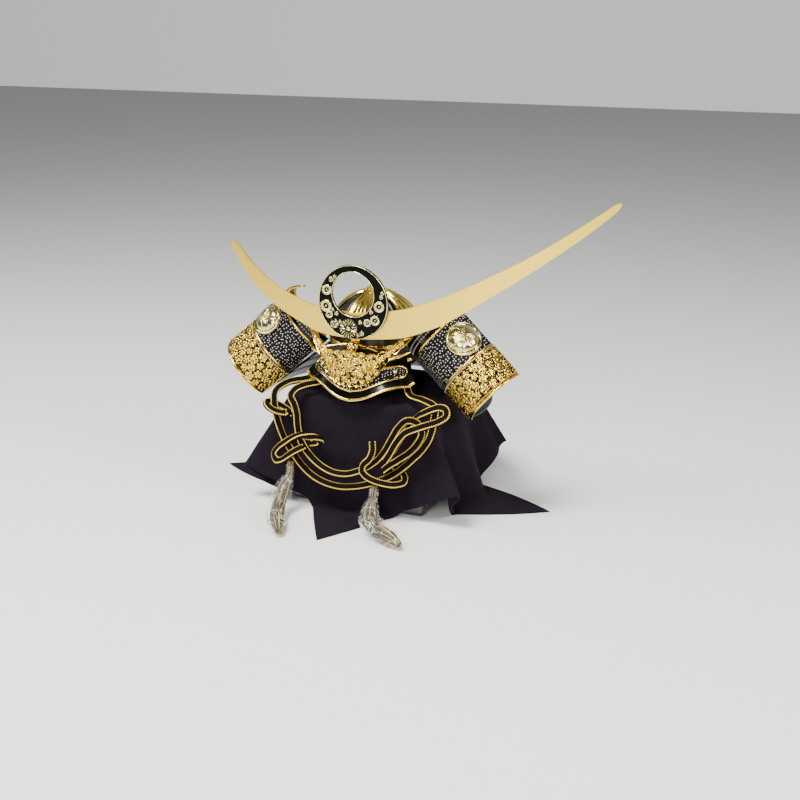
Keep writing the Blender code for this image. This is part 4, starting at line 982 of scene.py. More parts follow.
def round_net(place, out, profile, steps=32):
    """A turned net about a line: profile gives radius and height from the middle outwards."""
    out = Vector(out).normalized()
    side = out.orthogonal().normalized()
    over = out.cross(side)
    rows = []
    for radius, height in profile:
        rows.append([
            Vector(place) + out * height + radius * (math.cos(a) * side + math.sin(a) * over)
            for a in np.linspace(0, TAU, steps + 1)
        ])
    return np.array(rows)


lift = VISOR_THICKNESS / 2 + GAP * 3.5 + PANEL_THICKNESS
profile = [(RIVET_RADIUS * math.cos(a), RIVET_RADIUS * 0.8 * math.sin(a))
           for a in np.radians(range(90, -1, -10))]
profile.append((0, 0))
for word, side in (("left", -1), ("right", 1)):
    place = visor_point(side * RIVET_ACROSS, RIVET_DOWN, lift)
    out = visor_point(side * RIVET_ACROSS, RIVET_DOWN, lift * 2) - place
    head = net_mesh(round_net(place, out, profile))
    rivet = make_piece(f"visor_rivet_head_{word}", head, gilt_brass, "gold_plate")
    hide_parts(f"visor_rivet_{word}")


# Brow ornament: one gilt casting curved round the bowl's front, with scrolling leaves in relief,
# two rising wings and a pair of amber-gold domes.

BROW_RADIUS = 54.5 * MM
BROW_THICKNESS = 2.6 * MM
BROW_BOTTOM_Z = 117.5 * MM
BROW_HEIGHT = 31 * MM
BROW_HALF_WIDTH = 24 * MM
WING_LENGTH = 30 * MM
WING_RISE = 24 * MM
DOME_RADIUS = 4.2 * MM
DOME_PLACE = 17.6 * MM
DOME_Z = 136 * MM
BROW_RELIEF = 1.6 * MM
BROW_ACROSS = (0, 0.35, 0.7, 1)
BROW_LOW = (0, 0.03, 0.14, 0.36)
BROW_HIGH = (1, 0.97, 0.93, 0.95)
EDGE_BEAD = 0.8 * MM
# Shares of the dome's radius, and heights in mm
COLLAR = ((0.7, 1.5), (0.85, 2.3), (0.98, 2.4), (1.1, 2.1), (1.14, 1.2), (1.14, 0), (0, 0))

# Amber-gold lacquer on the two domes, glossy as glass
amber_dome, tree, shader = start_finish("amber_lacquered_dome", "#b3901a", 0.16, 1.0)
grain(tree, shader, object_place(tree), 300, 0.00003)


def brow_outline(along):
    """The ornament's lower and upper edge at a run from its middle."""
    share = abs(along) / BROW_HALF_WIDTH
    if share <= 1:
        low = BROW_BOTTOM_Z + spline(share, BROW_ACROSS, BROW_LOW) * BROW_HEIGHT
        high = BROW_BOTTOM_Z + spline(share, BROW_ACROSS, BROW_HIGH) * BROW_HEIGHT
        return low, high
    end_low = BROW_BOTTOM_Z + BROW_LOW[-1] * BROW_HEIGHT
    end_high = BROW_BOTTOM_Z + BROW_HIGH[-1] * BROW_HEIGHT
    far = (abs(along) - BROW_HALF_WIDTH) / WING_LENGTH
    rise = np.interp(far, (0, 0.3, 0.6, 1), (0, 0.285, 0.595, 0.955)) * WING_RISE
    half = (end_high - end_low) / 2 * (1 - 0.55 * far) * np.interp(far, (0, 0.3), (1, 0.8))
    middle = (end_low + end_high) / 2
    return middle + rise - half * np.interp(far, (0, 0.4), (1, 0.45)), middle + rise + half


def curl(x, y, cx, cy, size, turns, way, start):
    """Height of one scrolling leaf: a ridge that winds in to its centre."""
    dx = (x - cx) / size
    dy = (y - cy) / size
    far = np.hypot(dx, dy)
    turn = way * np.arctan2(dy, dx) - start
    phase = (far * turns - turn / TAU) % 1
    ridge = np.abs(np.sin(math.pi * phase)) ** 0.7
    eye = np.clip(1 - far / 0.22, 0, 1) ** 0.5
    return np.where(far < 1, np.maximum(ridge * np.clip((1 - far) * 5, 0, 1), eye), 0)


def blossom(x, y, cx, cy, size, petals=5, spin=0.0):
    """Height of one small flower with notched petals round a domed eye."""
    dx = (x - cx) / size
    dy = (y - cy) / size
    far = np.hypot(dx, dy)
    lobe = np.abs(np.cos(petals * (np.arctan2(dy, dx) + spin) / 2))
    edge = 0.6 + 0.4 * lobe**0.5
    share = np.clip(far / edge, 0, 1)
    body = np.clip(1 - share**6, 0, 1) ** 0.5 * (0.45 + 0.55 * share) * (0.55 + 0.45 * lobe**0.6)
    return np.maximum(body, np.clip(1 - (far / 0.24) ** 2, 0, 1) ** 0.5)


def foliage(x, y, scale, seed):
    """Height of the close leaves and tendrils between the flowers."""
    ridges = []
    for px, py in np.stack([x.ravel(), y.ravel()], axis=1) * scale:
        bend = 1.6 * noise.noise(Vector((px / 2, py / 2, seed)))
        swing = 1.6 * noise.noise(Vector((px / 2, py / 2, seed + 9)))
        ridges.append(1 - 2.6 * abs(noise.noise(Vector((px + bend, py + swing, seed + 4)))))
    return np.clip(np.reshape(ridges, x.shape), 0, 1)


run = np.linspace(-(BROW_HALF_WIDTH + WING_LENGTH), BROW_HALF_WIDTH + WING_LENGTH, 331)
down = np.linspace(0, 1, 74)
edges = np.array([brow_outline(a) for a in run])
edges[:, 1] += 1.3 * MM * (np.abs(np.sin(math.pi * run / (7.5 * MM))) ** 0.6 - 0.6)
edges[:, 0] -= 0.7 * MM * (np.abs(np.sin(math.pi * run / (5.4 * MM))) ** 0.6 - 0.6)
x = np.broadcast_to(run[None, :], (len(down), len(run)))
z = edges[None, :, 1] + (edges[:, 0] - edges[:, 1])[None, :] * down[:, None]
scroll = 0.62 * foliage(x, z, 620, 1) ** 1.6
# Place and size in mm, turns, winding way and starting angle of each leaf right of the middle
SCROLLS = (
    (4.6, 139.8, 3.4, 1.6, 1, 0.0), (5.6, 129.4, 3.4, 1.6, -1, 1.0), (12, 146.6, 3.0, 1.5, -1, 0.5),
    (22.5, 146.4, 3.0, 1.5, 1, 2.6), (10.8, 122.6, 2.8, 1.5, 1, 2.0), (28.8, 144.2, 3.0, 1.5, -1, 1.2),
    (35.2, 149.4, 2.8, 1.5, 1, 2.2), (41, 153.2, 2.6, 1.5, -1, 0.3), (50, 161, 2.4, 1.4, 1, 1.1),
)
# Place and size in mm and number of petals of each flower
FLOWERS = (
    (17.6, 136, 7.6, 14), (0, 134.4, 5.4, 8), (8.6, 141.6, 3.4, 5), (0, 144.4, 3.8, 6),
    (8.4, 134.2, 2.9, 5), (10.2, 128.4, 3.2, 6), (4.8, 123.4, 3.2, 5), (0, 120.4, 2.6, 5),
    (16.4, 126.4, 2.8, 5), (24.4, 129.6, 2.7, 5), (5.6, 147.2, 2.4, 5), (17.6, 145.8, 2.6, 6),
    (25.8, 141.4, 3.0, 5), (32, 147.2, 3.1, 6), (38.2, 151.6, 2.9, 5), (44.2, 156, 2.6, 6),
    (47.8, 159.2, 2.1, 5),
)
for number, (cx, cz, size, turns, way, start) in enumerate(SCROLLS):
    for side in (-1, 1):
        shift = 0.6 * math.sin(2 * number + side)
        leaf = curl(side * x, z, (cx + shift) * MM, cz * MM, size * MM, turns, way, start + side)
        scroll = np.maximum(scroll, leaf)
for number, (cx, cz, size, petals) in enumerate(FLOWERS):
    for side in (-1, 1) if cx else (1,):
        shift = 0.5 * math.sin(3 * number + side) if 0 < number else 0
        spot = (cx + shift) * MM, (cz - shift) * MM
        scroll = np.maximum(scroll, blossom(side * x, z, *spot, size * MM, petals, 0.3 * cx + side))
from_edge = np.minimum(down, 1 - down)[:, None] * (edges[:, 1] - edges[:, 0])[None, :]
scroll = np.maximum(scroll, np.clip(1 - from_edge / EDGE_BEAD, 0, 1) ** 0.5)
turn = x / BROW_RADIUS
net = np.stack([BROW_RADIUS * np.sin(turn), BOWL_Y - BROW_RADIUS * np.cos(turn), z], axis=-1)
plate = shell(net, 0, BROW_THICKNESS - 0.4 * MM, (0, BOWL_Y, 0.14), bump=scroll * BROW_RELIEF)
lumps = [(0, plate)]
for side in (-1, 1):
    turn = side * DOME_PLACE / BROW_RADIUS
    out = (math.sin(turn), -math.cos(turn), 0)
    place = np.array((0, BOWL_Y, DOME_Z)) + (BROW_RADIUS + BROW_THICKNESS * 0.5) * np.array(out)
    profile = [(0.78 * DOME_RADIUS * math.cos(a), 0.95 * DOME_RADIUS * math.sin(a))
               for a in np.radians(np.linspace(90, -20, 16))]
    lumps.append((1, net_mesh(round_net(place, out, [*profile, (0, profile[-1][1])], 40))))
    collar = [(r * DOME_RADIUS, h * MM) for r, h in COLLAR]
    lumps.append((0, net_mesh(round_net(place, out, [(0, 1.2 * MM), *collar], 40))))
shape = put_together(*lumps)
depth = np.ones(len(shape[0]))
depth[:scroll.size] = scroll.ravel()
brow = make_piece("brow_casting", shape, [cast_gilt, amber_dome], "pale_gold", depth=depth)
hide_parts("brow_ornament")


# Crest bracket: a cranked gilt strip, fixed to the bowl behind the casting, with a small
# five-petalled rosette on its front. The crescent stands in front of it.

dress("crest_bracket", gilt_brass)


def petal_form(petals):
    """Height shares of a flower with one row of petals round a domed eye, in a raised edge."""
    def form(far, turn):
        lift = np.clip(1 - (far / 0.2) ** 2, 0, 1) ** 0.5
        share = np.clip((far - 0.2) / 0.76, 0, 1)
        lobe = np.abs(np.cos(petals * turn / 2)) ** 0.45
        lift = np.maximum(lift, np.sin(math.pi * share) ** 0.6 * 0.85 * lobe)
        lift = np.maximum(lift, np.clip(1 - np.abs(far - 0.96) / 0.04, 0, 1) * 0.5)
        return 0.45 * (1 - far**2) + 0.55 * lift, lift
    return form


def ray_form(rays):
    """Height shares of a flat flower with many narrow petals round a domed eye."""
    def form(far, turn):
        share = np.clip((far - 0.3) / 0.7, 0, 1)
        ray = np.sin(math.pi * share) ** 0.3 * np.abs(np.cos(rays * turn / 2)) ** 1.3
        eye = np.clip(1 - (far / 0.26) ** 2, 0, 1) ** 0.5
        lift = np.maximum(0.8 * ray, eye)
        return 0.2 + 0.8 * lift, lift
    return form


def ring_form(petals):
    """Height shares of a lobed ring with a small knob in its middle."""
    def form(far, turn):
        ring = np.clip(1 - ((far - 0.69) / 0.31) ** 2, 0, 1) ** 0.5 * (0.84 + 0.16 * np.cos(petals * turn))
        eye = 0.8 * np.clip(1 - (far / 0.2) ** 2, 0, 1) ** 0.5
        lift = np.maximum(ring, eye)
        return 0.1 + 0.9 * lift, lift
    return form


ROSETTE_BASE = 0.6 * MM


def rosette(place, out, over, radius, height, form, thickness=ROSETTE_BASE, steps=56, rows=17):
    """A round flower as a closed body, and its depth values."""
    out = Vector(out).normalized()
    side = Vector(over).cross(out).normalized()
    over = out.cross(side)
    far = np.linspace(0, 1, rows)[:, None]
    turn = np.linspace(0, TAU, steps + 1)[None, :]
    far, turn = np.broadcast_arrays(far, turn)
    rise, lift = form(far, turn)
    net = np.array(place) + radius * far[..., None] * (
        np.cos(turn)[..., None] * np.array(side) + np.sin(turn)[..., None] * np.array(over)
    )
    below = np.array(place) - np.array(out) * radius * 5
    shape = shell(net, -thickness, 0, below, wrap=True, bump=rise * height)
    depth = np.ones(len(shape[0]))
    depth[:lift.size] = lift.ravel()
    return shape, depth


def seat_rosettes(name, slot, finish, flowers):
    """Several rosettes as one piece."""
    shapes = [rosette(**flower) for flower in flowers]
    return make_piece(name, put_together(*((0, shape) for shape, _ in shapes)), finish, slot, sharp=50,
                      depth=np.concatenate([depth for _, depth in shapes]))


seat_rosettes("bracket_rosette", "gold_plate", cast_gilt, [dict(
    place=(0, -0.0656, 0.1515), out=(0, -1, 0.1), over=(0, 0, 1), radius=4.2 * MM, height=1.8 * MM,
    form=petal_form(5), thickness=1.2 * MM,
)])


# Crescent: a sheet of satin champagne-gold metal cut to two long horns of unequal length and
# bent back at the sides; it stands in front of the bracket.

CRESCENT_BEND = 600 * MM
CRESCENT_THICKNESS = 1.8 * MM
CRESCENT_WIDTH = 24.5 * MM
CRESCENT_Z = 168 * MM
LONG_HORN = 224 * MM
LONG_HORN_RISE = 112 * MM
SHORT_HORN = 127 * MM
SHORT_HORN_RISE = 62 * MM
BRACKET_THICKNESS = 1.6 * MM
CRESCENT_FRONT_Y = BOWL_Y - BOWL_RADIUS - RIB_HEIGHT - GAP * 3.3 - BRACKET_THICKNESS - CRESCENT_THICKNESS
LONG_ALONG = (0.0, 0.19, 0.306, 0.382, 0.53, 0.676, 0.818, 0.93, 0.985, 1.0)
LONG_RISE = (0.0, 0.05, 0.13, 0.2, 0.37, 0.545, 0.735, 0.895, 0.98, 1.0)
LONG_WIDTH = (0.93, 1.0, 0.99, 0.93, 0.72, 0.56, 0.45, 0.35, 0.25, 0.08)
SHORT_ALONG = (0.0, 0.277, 0.415, 0.576, 0.659, 0.742, 0.827, 0.9125, 0.975, 1.0)
SHORT_RISE = (0.0, 0.05, 0.14, 0.275, 0.37, 0.49, 0.635, 0.82, 0.96, 1.0)
SHORT_WIDTH = (0.93, 0.93, 0.83, 0.76, 0.745, 0.71, 0.65, 0.58, 0.38, 0.1)

# Champagne-gold anodised sheet, blasted to an even satin
satin_gold, tree, shader = start_finish("satin_champagne_gold", "#fcd752", 0.36, 1.0)
grain(tree, shader, object_place(tree), 1600, 0.00005, (0.38, 0.48))

sections = []
for side, length, rise, tables in (
    (-1, SHORT_HORN, SHORT_HORN_RISE, (SHORT_ALONG, SHORT_RISE, SHORT_WIDTH)),
    (1, LONG_HORN, LONG_HORN_RISE, (LONG_ALONG, LONG_RISE, LONG_WIDTH)),
):
    spots = [*np.linspace(0, 0.94, 90), *np.linspace(0.94, 1, 14)[1:]]
    for place in reversed(spots) if side < 0 else spots[1:]:
        turn = side * place * length / CRESCENT_BEND
        sections.append((
            CRESCENT_BEND * math.sin(turn),
            CRESCENT_FRONT_Y + CRESCENT_BEND * (1 - math.cos(turn)),
            CRESCENT_Z + rise * spline(place, tables[0], tables[1]),
            CRESCENT_WIDTH / 2 * spline(place, tables[0], tables[2]),
        ))
net = np.array([[(x, y, z + level * half) for x, y, z, half in sections] for level in np.linspace(-1, 1, 13)])
sheet = shell(net, -CRESCENT_THICKNESS, 0, (0, 1, 0.2), lip=0.2)
crescent = make_piece("satin_crescent", sheet, satin_gold, "satin_gold", sharp=35)
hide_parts("crescent")


# Ring disc: a dark enamelled disc with an offset round hole, edges of toned silver wire, and
# struck rosettes and bosses on its band; it stands in front of the crescent.

RING_RADIUS = 32.5 * MM
RING_HOLE_RADIUS = 19.5 * MM
RING_HOLE_RAISED = 7 * MM
RING_THICKNESS = 2.2 * MM
RING_Z = 189.5 * MM
RING_BACK_Y = CRESCENT_FRONT_Y - GAP
RING_FRONT_Y = RING_BACK_Y - RING_THICKNESS
BOSS_HEIGHT = 1.6 * MM
# Angle from the top, place across the band and radius in shares of the disc's, petals
BOSSES = (
    (190, 0.73, 0.27, 0), (-69, 0.80, 0.15, 12), (-101, 0.79, 0.175, 12), (-119, 0.78, 0.11, 8),
    (-139, 0.82, 0.14, 5), (-125, 0.58, 0.07, 5), (-47, 0.84, 0.085, 3), (-38, 0.83, 0.06, 3),
    (94, 0.76, 0.16, 12), (124, 0.77, 0.145, 12), (141, 0.66, 0.115, 8), (112, 0.57, 0.07, 3),
    (158, 0.56, 0.07, 3), (163, 0.86, 0.08, 3), (171, 0.9, 0.055, 3), (76, 0.84, 0.065, 3),
    (70, 0.9, 0.06, 3), (-146, 0.66, 0.06, 3), (-112, 0.64, 0.06, 3),
)
RING_WIRE = 0.45 * MM
HOLE_WIRE = 0.4 * MM
WIRE_INSET = 0.45 * MM

# Fired enamel over brass: green-black and glossy
dark_enamel, tree, shader = start_finish("dark_green_enamel", "#050703", 0.3, Specular_IOR_Level=0.06)
grain(tree, shader, object_place(tree), 500, 0.0001, (0.16, 0.3))
# Antique-silvered bosses with green-black toning between the petals
toned_silver, tree, shader = start_finish("toned_silver_boss", "#d9d3a8", 0.22, 1.0)
grain(tree, shader, object_place(tree), 1200, 0.00004, (0.12, 0.24))
shade_and_tone_relief(tree, shader, 0.3, 0.85, "#23241a", "#e6d996")

turn = np.linspace(0, TAU, 161)
outer, inner = (
    np.stack([radius * np.sin(turn), 0 * turn + RING_BACK_Y, middle + radius * np.cos(turn)], axis=-1)
    for radius, middle in ((RING_RADIUS, RING_Z), (RING_HOLE_RADIUS, RING_Z + RING_HOLE_RAISED))
)
share = np.linspace(0, 1, 22)[:, None, None]
net = outer[None] * (1 - share) + inner[None] * share
disc = shell(net, 0, RING_THICKNESS, (0, 1, RING_Z), wrap=True, lip=0.1)
rims = []
for ring, radius, inset in ((outer, RING_WIRE, WIRE_INSET), (inner, HOLE_WIRE, -WIRE_INSET)):
    middle = ring.mean(axis=0)
    line = middle + (ring[:-1] - middle) * (1 - inset / RING_RADIUS)
    line[:, 1] = RING_FRONT_Y
    rims.append((1, sweep(line, radius, 10, closed=True)))
shape = put_together((0, disc), *rims)
ring = make_piece("enamelled_ring_disc", shape, [dark_enamel, toned_silver], "dark_enamel",
                  depth=np.ones(len(shape[0])))
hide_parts("ring_disc")


def boss_form(petals):
    """The form of a boss: many rays where no petals are given, else petals or a lobed ring."""
    if not petals:
        return ray_form(20)
    return petal_form(petals) if petals < 8 else ring_form(petals)


flowers = []
for angle, place, radius, petals in BOSSES:
    turn = math.radians(angle)
    reach = place * RING_RADIUS
    flowers.append(dict(
        place=(reach * math.sin(turn), RING_FRONT_Y, RING_Z + reach * math.cos(turn)),
        out=(0, -1, 0),
        over=(0, 0, 1),
        radius=radius * RING_RADIUS,
        height=BOSS_HEIGHT * min(1, 0.35 + 4 * radius),
        steps=64 if petals else 120,
        form=boss_form(petals),
    ))
seat_rosettes("ring_disc_rosettes", "dark_enamel", toned_silver, flowers)


# Side turnbacks: on each side a barrel-shaped flap built up of an inner beaded strip, a leather
# panel, a gilt strip and a cast relief band, each edge bound in gilt tube, with a domed rosette.

TURN_RADIUS = 31 * MM
TURN_OUT = 66.3 * MM
TURN_BEHIND_BOWL = -2 * MM
TURN_ABOVE_CENTRE = 7.3 * MM
TURN_SLOPE = 40.6
TURN_SWEEP = 9.9
TURN_TOP_ANGLE = 8
TURN_END_ANGLE = 147
TURN_WALL = 1.8 * MM
INNER_STRIP_WIDTH = 10.5 * MM
LEATHER_WIDTH = 34 * MM
RELIEF_WIDTH = 31 * MM
RELIEF_HEIGHT = 1.6 * MM
RIM_RADIUS = 1.3 * MM
CREST_RADIUS = 15.2 * MM
CREST_HEIGHT = 6 * MM
CREST_ANGLE = 45
CREST_ALONG = 20 * MM
EDGE_WIRE = 0.7 * MM
CURL_ALONG = (0, 0.25, 0.6, 0.9, 0.95, 1)
CURL_RADIUS = (2.7, 2.3, 1.5, 1.1, 1.5, 1.4)
# Routes in mm, and the rod's and the knob's radius
TOGGLES = (
    (((34, -62.5, 142.5), (41, -57, 145), (48.5, -49.5, 147.8)), 1.3),
    (((43, -43, 139), (46.5, -44, 140), (48, -44.5, 140.4)), 2.0),
)
BROW_PIN = ((5, -58.5, 152.3), (15, -61.5, 151), (24, -64.5, 149.6))

TURN_START = Vector((TURN_OUT, BOWL_Y + TURN_BEHIND_BOWL, BOWL_CENTRE_Z + TURN_ABOVE_CENTRE))
slope = math.radians(TURN_SLOPE)
yaw = math.radians(TURN_SWEEP)
TURN_AXIS = Vector((math.cos(slope) * math.cos(yaw), -math.cos(slope) * math.sin(yaw), -math.sin(slope)))
TURN_UP = Vector((math.sin(slope), 0, math.cos(slope)))
TURN_UP = (TURN_UP - TURN_AXIS * TURN_UP.dot(TURN_AXIS)).normalized()
TURN_FRONT = TURN_AXIS.cross(TURN_UP)


def turn_place(along, angle, outset=0.0):
    """Places on the right-hand turnback: along its axis, round from the top, out from its face."""
    along, angle, outset = np.broadcast_arrays(along, np.radians(angle), outset)
    out = np.cos(angle)[..., None] * np.array(TURN_UP) + np.sin(angle)[..., None] * np.array(TURN_FRONT)
    reach = (TURN_RADIUS + outset)[..., None]
    return np.array(TURN_START) + along[..., None] * np.array(TURN_AXIS) + out * reach


def both_sides(name, nodes, shape, finishes, slot, **settings):
    """The right-hand piece and its mirror image, each for its CAD node."""
    for word, mirror in (("right", False), ("left", True)):
        piece = make_piece(f"{name}_{word}", shape, finishes, slot, mirror=mirror, **settings)
        for node in nodes:
            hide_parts(f"{node}_{word}")


# Silver-grey beaded braid
silver_bead, tree, shader = start_finish("silver_beaded_braid", "#98948a", 0.3, 0.9)
grain(tree, shader, object_place(tree), 2200, 0.00005)

around = np.linspace(TURN_TOP_ANGLE, TURN_END_ANGLE, 121)
leather_at = RIM_RADIUS + GAP
strip_at = leather_at + LEATHER_WIDTH + GAP + RIM_RADIUS
relief_at = strip_at + RIM_RADIUS + GAP
outer_at = relief_at + RELIEF_WIDTH + GAP + RIM_RADIUS
strip_end = -RIM_RADIUS - GAP
AXIS_LINE = np.array(TURN_START + TURN_AXIS * 0.03)


def turn_shell(low, high, rows):
    """A wall of the barrel between two places along its axis."""
    net = turn_place(np.linspace(low, high, rows)[:, None], around[None, :])
    return shell(net, -TURN_WALL, 0, AXIS_LINE)


wall = turn_shell(strip_end - INNER_STRIP_WIDTH, strip_end, 14)
both_sides("inner_strip", ["inner_strip"], wall, visor_lacquer, "dotted_leather")
wall = turn_shell(leather_at, leather_at + LEATHER_WIDTH, 40)
both_sides("side_leather", ["side_leather"], wall, dotted_leather, "dotted_leather")
for name, along in (("inner_rim", 0.0), ("gold_strip", strip_at), ("outer_rim", outer_at)):
    line = turn_place(along, around, -TURN_WALL / 2)
    both_sides(name + "_tube", [name], sweep(line, RIM_RADIUS, 14), gilt_brass, "gold_plate")

tube_at = strip_end - INNER_STRIP_WIDTH - RIM_RADIUS
wires = [(0, sweep(turn_place(tube_at, around[:-8], -TURN_WALL / 2), RIM_RADIUS, 12))]
for angle in (TURN_TOP_ANGLE, TURN_END_ANGLE):
    line = turn_place(np.linspace(strip_end - INNER_STRIP_WIDTH, outer_at, 30), angle, -0.5 * TURN_WALL)
    wires.append((0, sweep(line, EDGE_WIRE, 10)))
both_sides("turnback_edge_wires", [], put_together(*wires), gilt_brass, "gold_plate")
for word, side, tip in (("left", -1, 193), ("right", 1, 187)):
    bend = [
        (80, -27, 175),
        (79.4, -29, 181),
        (76, -30, 0.4 * 181 + 0.6 * tip),
        (70, -30, tip - 2),
        (61, -30, tip),
    ]
    line = smooth_route(bend, 0.8) * MM * np.array((side, 1, 1))
    taper = np.interp(np.linspace(0, 1, len(line)), CURL_ALONG, CURL_RADIUS) * MM
    make_piece(f"turnback_curl_{word}", sweep(line, taper, 14), gilt_brass, "gold_plate")

# Gilt toggles at the inner strip's front end: a short rod, a round knob and a thin pin
toggles = []
for route, radius in TOGGLES:
    line = smooth_route(route, 0.5) * MM
    ends = np.sin(np.linspace(0.12, math.pi - 0.12, len(line))) ** 0.25
    toggles.append((0, sweep(line, radius * MM * ends, 14)))
pin = smooth_route(BROW_PIN, 1.0) * MM
toggles.append((0, sweep(pin, EDGE_WIRE, 10)))
both_sides("strip_toggles", [], put_together(*toggles), gilt_brass, "gold_plate")


def bead_rows(name, places, outset, pitch, radius, length):
    """Rows of silver beads round both turnbacks, at places along their axes."""
    lines = []
    for along in places:
        line = turn_place(along, around, outset)
        lines += [line, line * np.array((-1, 1, 1))]
    string_beads(name, lines, pitch, radius, length, silver_bead)


strip_rows = (strip_end - 0.3 * INNER_STRIP_WIDTH, strip_end - 0.62 * INNER_STRIP_WIDTH)
bead_rows("inner_strip_beads", strip_rows, 0.2 * MM, 3.0 * MM, 0.85 * MM, 1.2)
bead_rows("gold_strip_beads", [relief_at + 0.5 * MM], 1.1 * MM, 2.1 * MM, 0.75 * MM, 1.0)

rows = np.linspace(0, RELIEF_WIDTH, 92)
fine = np.linspace(TURN_TOP_ANGLE, TURN_END_ANGLE, 226)
arc = np.radians(fine - TURN_TOP_ANGLE) * TURN_RADIUS
u, v = np.meshgrid(arc, rows)
height = np.zeros_like(u)
for row, start in enumerate((5, 12, 19, 26)):
    for column in range(9):
        cu = 4.6 + 8.6 * column + 4.3 * (row % 2)
        cv = start + 0.9 * math.sin(5 * column + row)
        size = (4.1 + 0.6 * math.sin(3 * column + 2 * row)) * MM
        spot = cu * MM, cv * MM
        flower = blossom(u, v, *spot, size, 5 + (column + row) % 2, column + 0.7 * row)
        height = np.maximum(height, flower)
height = np.maximum(height, 0.55 * foliage(u, v, 600, 3) ** 1.6)
edge = np.minimum(np.minimum(v, RELIEF_WIDTH - v), np.minimum(u, arc[-1] - u))
bead = np.clip(1 - np.abs(edge - 0.7 * MM) / (0.7 * MM), 0, 1) ** 0.5 * 0.8
height = np.maximum(height, bead)
net = turn_place(relief_at + rows[:, None], fine[None, :])
shape = shell(net, -TURN_WALL, 0, AXIS_LINE, bump=height * RELIEF_HEIGHT)
depth = np.ones(len(shape[0]))
depth[:height.size] = height.ravel()
both_sides("cast_relief_band", ["relief_band"], shape, cast_gilt, "pale_gold", depth=depth)


# Domed rosette on each leather panel, its back hollowed to the barrel
def crest_form(far, turn):
    """A polished dome in a raised ring, cut with fine rays and eight broad petals."""
    share = np.clip(far / 0.83, 0, 1)
    dome = (1 - share**2) ** 0.55
    rays = np.abs(np.sin(18 * turn)) ** 0.35
    petals = np.abs(np.sin(4 * turn)) ** 0.3
    cut = 0.07 * (1 - rays) * np.clip((0.55 - far) * 6, 0, 1)
    cut = cut + 0.1 * (1 - petals) * np.clip(far * 4 - 1, 0, 1)
    ring = 0.42 * np.clip(1 - ((far - 0.92) / 0.08) ** 2, 0, 1) ** 0.5
    lift = np.where(far < 0.83, 0.16 + 0.84 * dome - cut, 0.1)
    return np.maximum(lift, ring), np.where(far < 0.83, 1 - 5 * cut, np.clip((far - 0.82) * 12, 0, 1))


turn = math.radians(CREST_ANGLE)
crest_out = TURN_UP * math.cos(turn) + TURN_FRONT * math.sin(turn)
shape, depth = rosette((0, 0, 0), (0, 0, 1), (0, 1, 0), CREST_RADIUS, CREST_HEIGHT - ROSETTE_BASE,
                       crest_form, steps=216, rows=30)
points = shape[0]
bend = points[:, 1] / TURN_RADIUS
radius = TURN_RADIUS + GAP * 2 + ROSETTE_BASE + points[:, 2]
across = TURN_AXIS.cross(crest_out)
place = np.array(TURN_START + TURN_AXIS * CREST_ALONG + crest_out * TURN_RADIUS)
points = (
    place
    + points[:, :1] * np.array(TURN_AXIS)
    + (radius * np.sin(bend))[:, None] * np.array(across)
    + (radius * np.cos(bend) - TURN_RADIUS)[:, None] * np.array(crest_out)
)
both_sides("side_rosette", ["side_crest"], (points, *shape[1:]), toned_silver, "pale_gold",
           depth=depth, sharp=50)


# Neck guard: four flared lacquered bands, each hung from the one above by close rows of navy
# silk lacing that pass round the back from flap to flap.

LAME_COUNT = 4
LAME_WIDTH = 15.5 * MM
LACING_WIDTH = 4.6 * MM
LAME_THICKNESS = 1.8 * MM
LACING_THICKNESS = 2.6 * MM
GUARD_TOP_Z = 140.4 * MM
GUARD_SLOPE = 38.4
LACING_PITCH = 3.0 * MM
LACING_RELIEF = 0.9 * MM
LACING_ROWS = 8
LACING_COLUMNS = 480

# Lacquered lames: black lacquer over metal, rubbed to a dull gloss
lame_lacquer, tree, shader = start_finish("dull_black_lame_lacquer", "#050506", 0.38, Specular_IOR_Level=0.25)
grain(tree, shader, object_place(tree), 260, 0.0001)
# Flat navy silk braid: matt and finely grained
navy_silk, tree, shader = start_finish("navy_silk_braid", "#141a3a", 0.7, Sheen_Weight=0.3)
grain(tree, shader, object_place(tree), 1800, 0.0001)


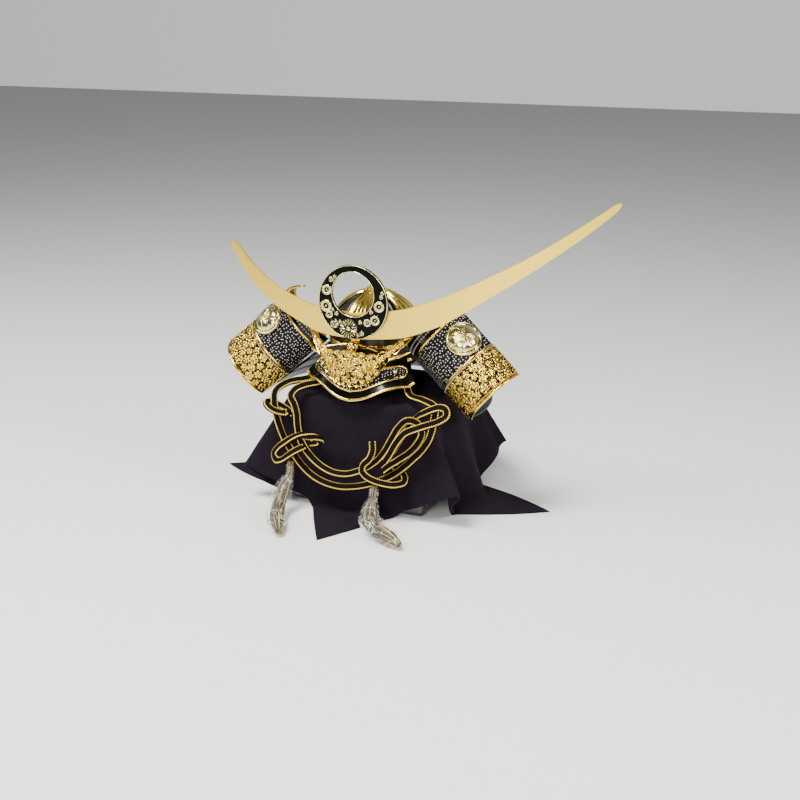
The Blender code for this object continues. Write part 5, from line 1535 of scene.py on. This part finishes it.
def guard_point(run, azimuth):
    """A place on the guard; azimuth 0 is the right side, 90 the back, 180 the left."""
    slope = math.radians(GUARD_SLOPE)
    radius = BOWL_RADIUS + RIB_HEIGHT + GAP * 2 + LAME_THICKNESS + run * math.cos(slope)
    height = GUARD_TOP_Z - run * math.sin(slope)
    turn = math.radians(azimuth)
    stretch = BOWL_BACK_STRETCH if math.sin(turn) > 0 else 1.0
    return Vector((radius * math.cos(turn), BOWL_Y + radius * math.sin(turn) * stretch, height))


def guard_end(run):
    """The azimuth where the guard at this run meets the turnback's lower edge."""
    radius = guard_point(run, 0).x
    best = -10.0
    nearest = 1.0
    for along in np.linspace(-INNER_STRIP_WIDTH, 80 * MM, 60):
        point = turn_place(along, TURN_END_ANGLE, -TURN_WALL / 2) - np.array((0, BOWL_Y, 0))
        miss = abs(math.hypot(point[0], point[1]) - radius)
        if miss < nearest:
            nearest = miss
            best = math.degrees(math.atan2(point[1], point[0]))
    return best + math.degrees((TURN_WALL / 2 + GAP) / radius)


def guard_net(low, high, rows, columns):
    net = []
    first, last = guard_end(low), guard_end(high)
    for share in np.linspace(0, 1, rows):
        start = first + (last - first) * share
        net.append([guard_point(low + (high - low) * share, start + (180 - 2 * start) * j / columns)
                    for j in range(columns + 1)])
    return np.array(net)


UNDER_GUARD = (0, BOWL_Y, 40 * MM)
pitch = LAME_WIDTH + LACING_WIDTH + 2 * GAP
for k in range(LAME_COUNT):
    low = k * pitch
    wall = shell(guard_net(low, low + LAME_WIDTH, 14, 200), -LAME_THICKNESS / 2, LAME_THICKNESS / 2,
                 UNDER_GUARD)
    lame = make_piece(f"lacquered_lame_{k + 1}", wall, lame_lacquer, "black_lacquer")
    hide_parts(f"lame_{k + 1}")
    if k < LAME_COUNT - 1:
        start = low + LAME_WIDTH + GAP
        net = guard_net(start, start + LACING_WIDTH, LACING_ROWS, LACING_COLUMNS)
        width = np.linalg.norm(np.diff(net[LACING_ROWS // 2], axis=0), axis=1).sum()
        count = round(width / LACING_PITCH)
        cords = np.abs(np.sin(math.pi * count * np.linspace(0, 1, LACING_COLUMNS + 1))) ** 0.5
        rows = shell(net, -LACING_THICKNESS / 2, LACING_THICKNESS / 2, UNDER_GUARD,
                     bump=(cords - 1) * LACING_RELIEF)
        lacing = make_piece(f"navy_lacing_{k + 1}", rows, navy_silk, "navy_lacing", sharp=70)
        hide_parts(f"lacing_{k + 1}")
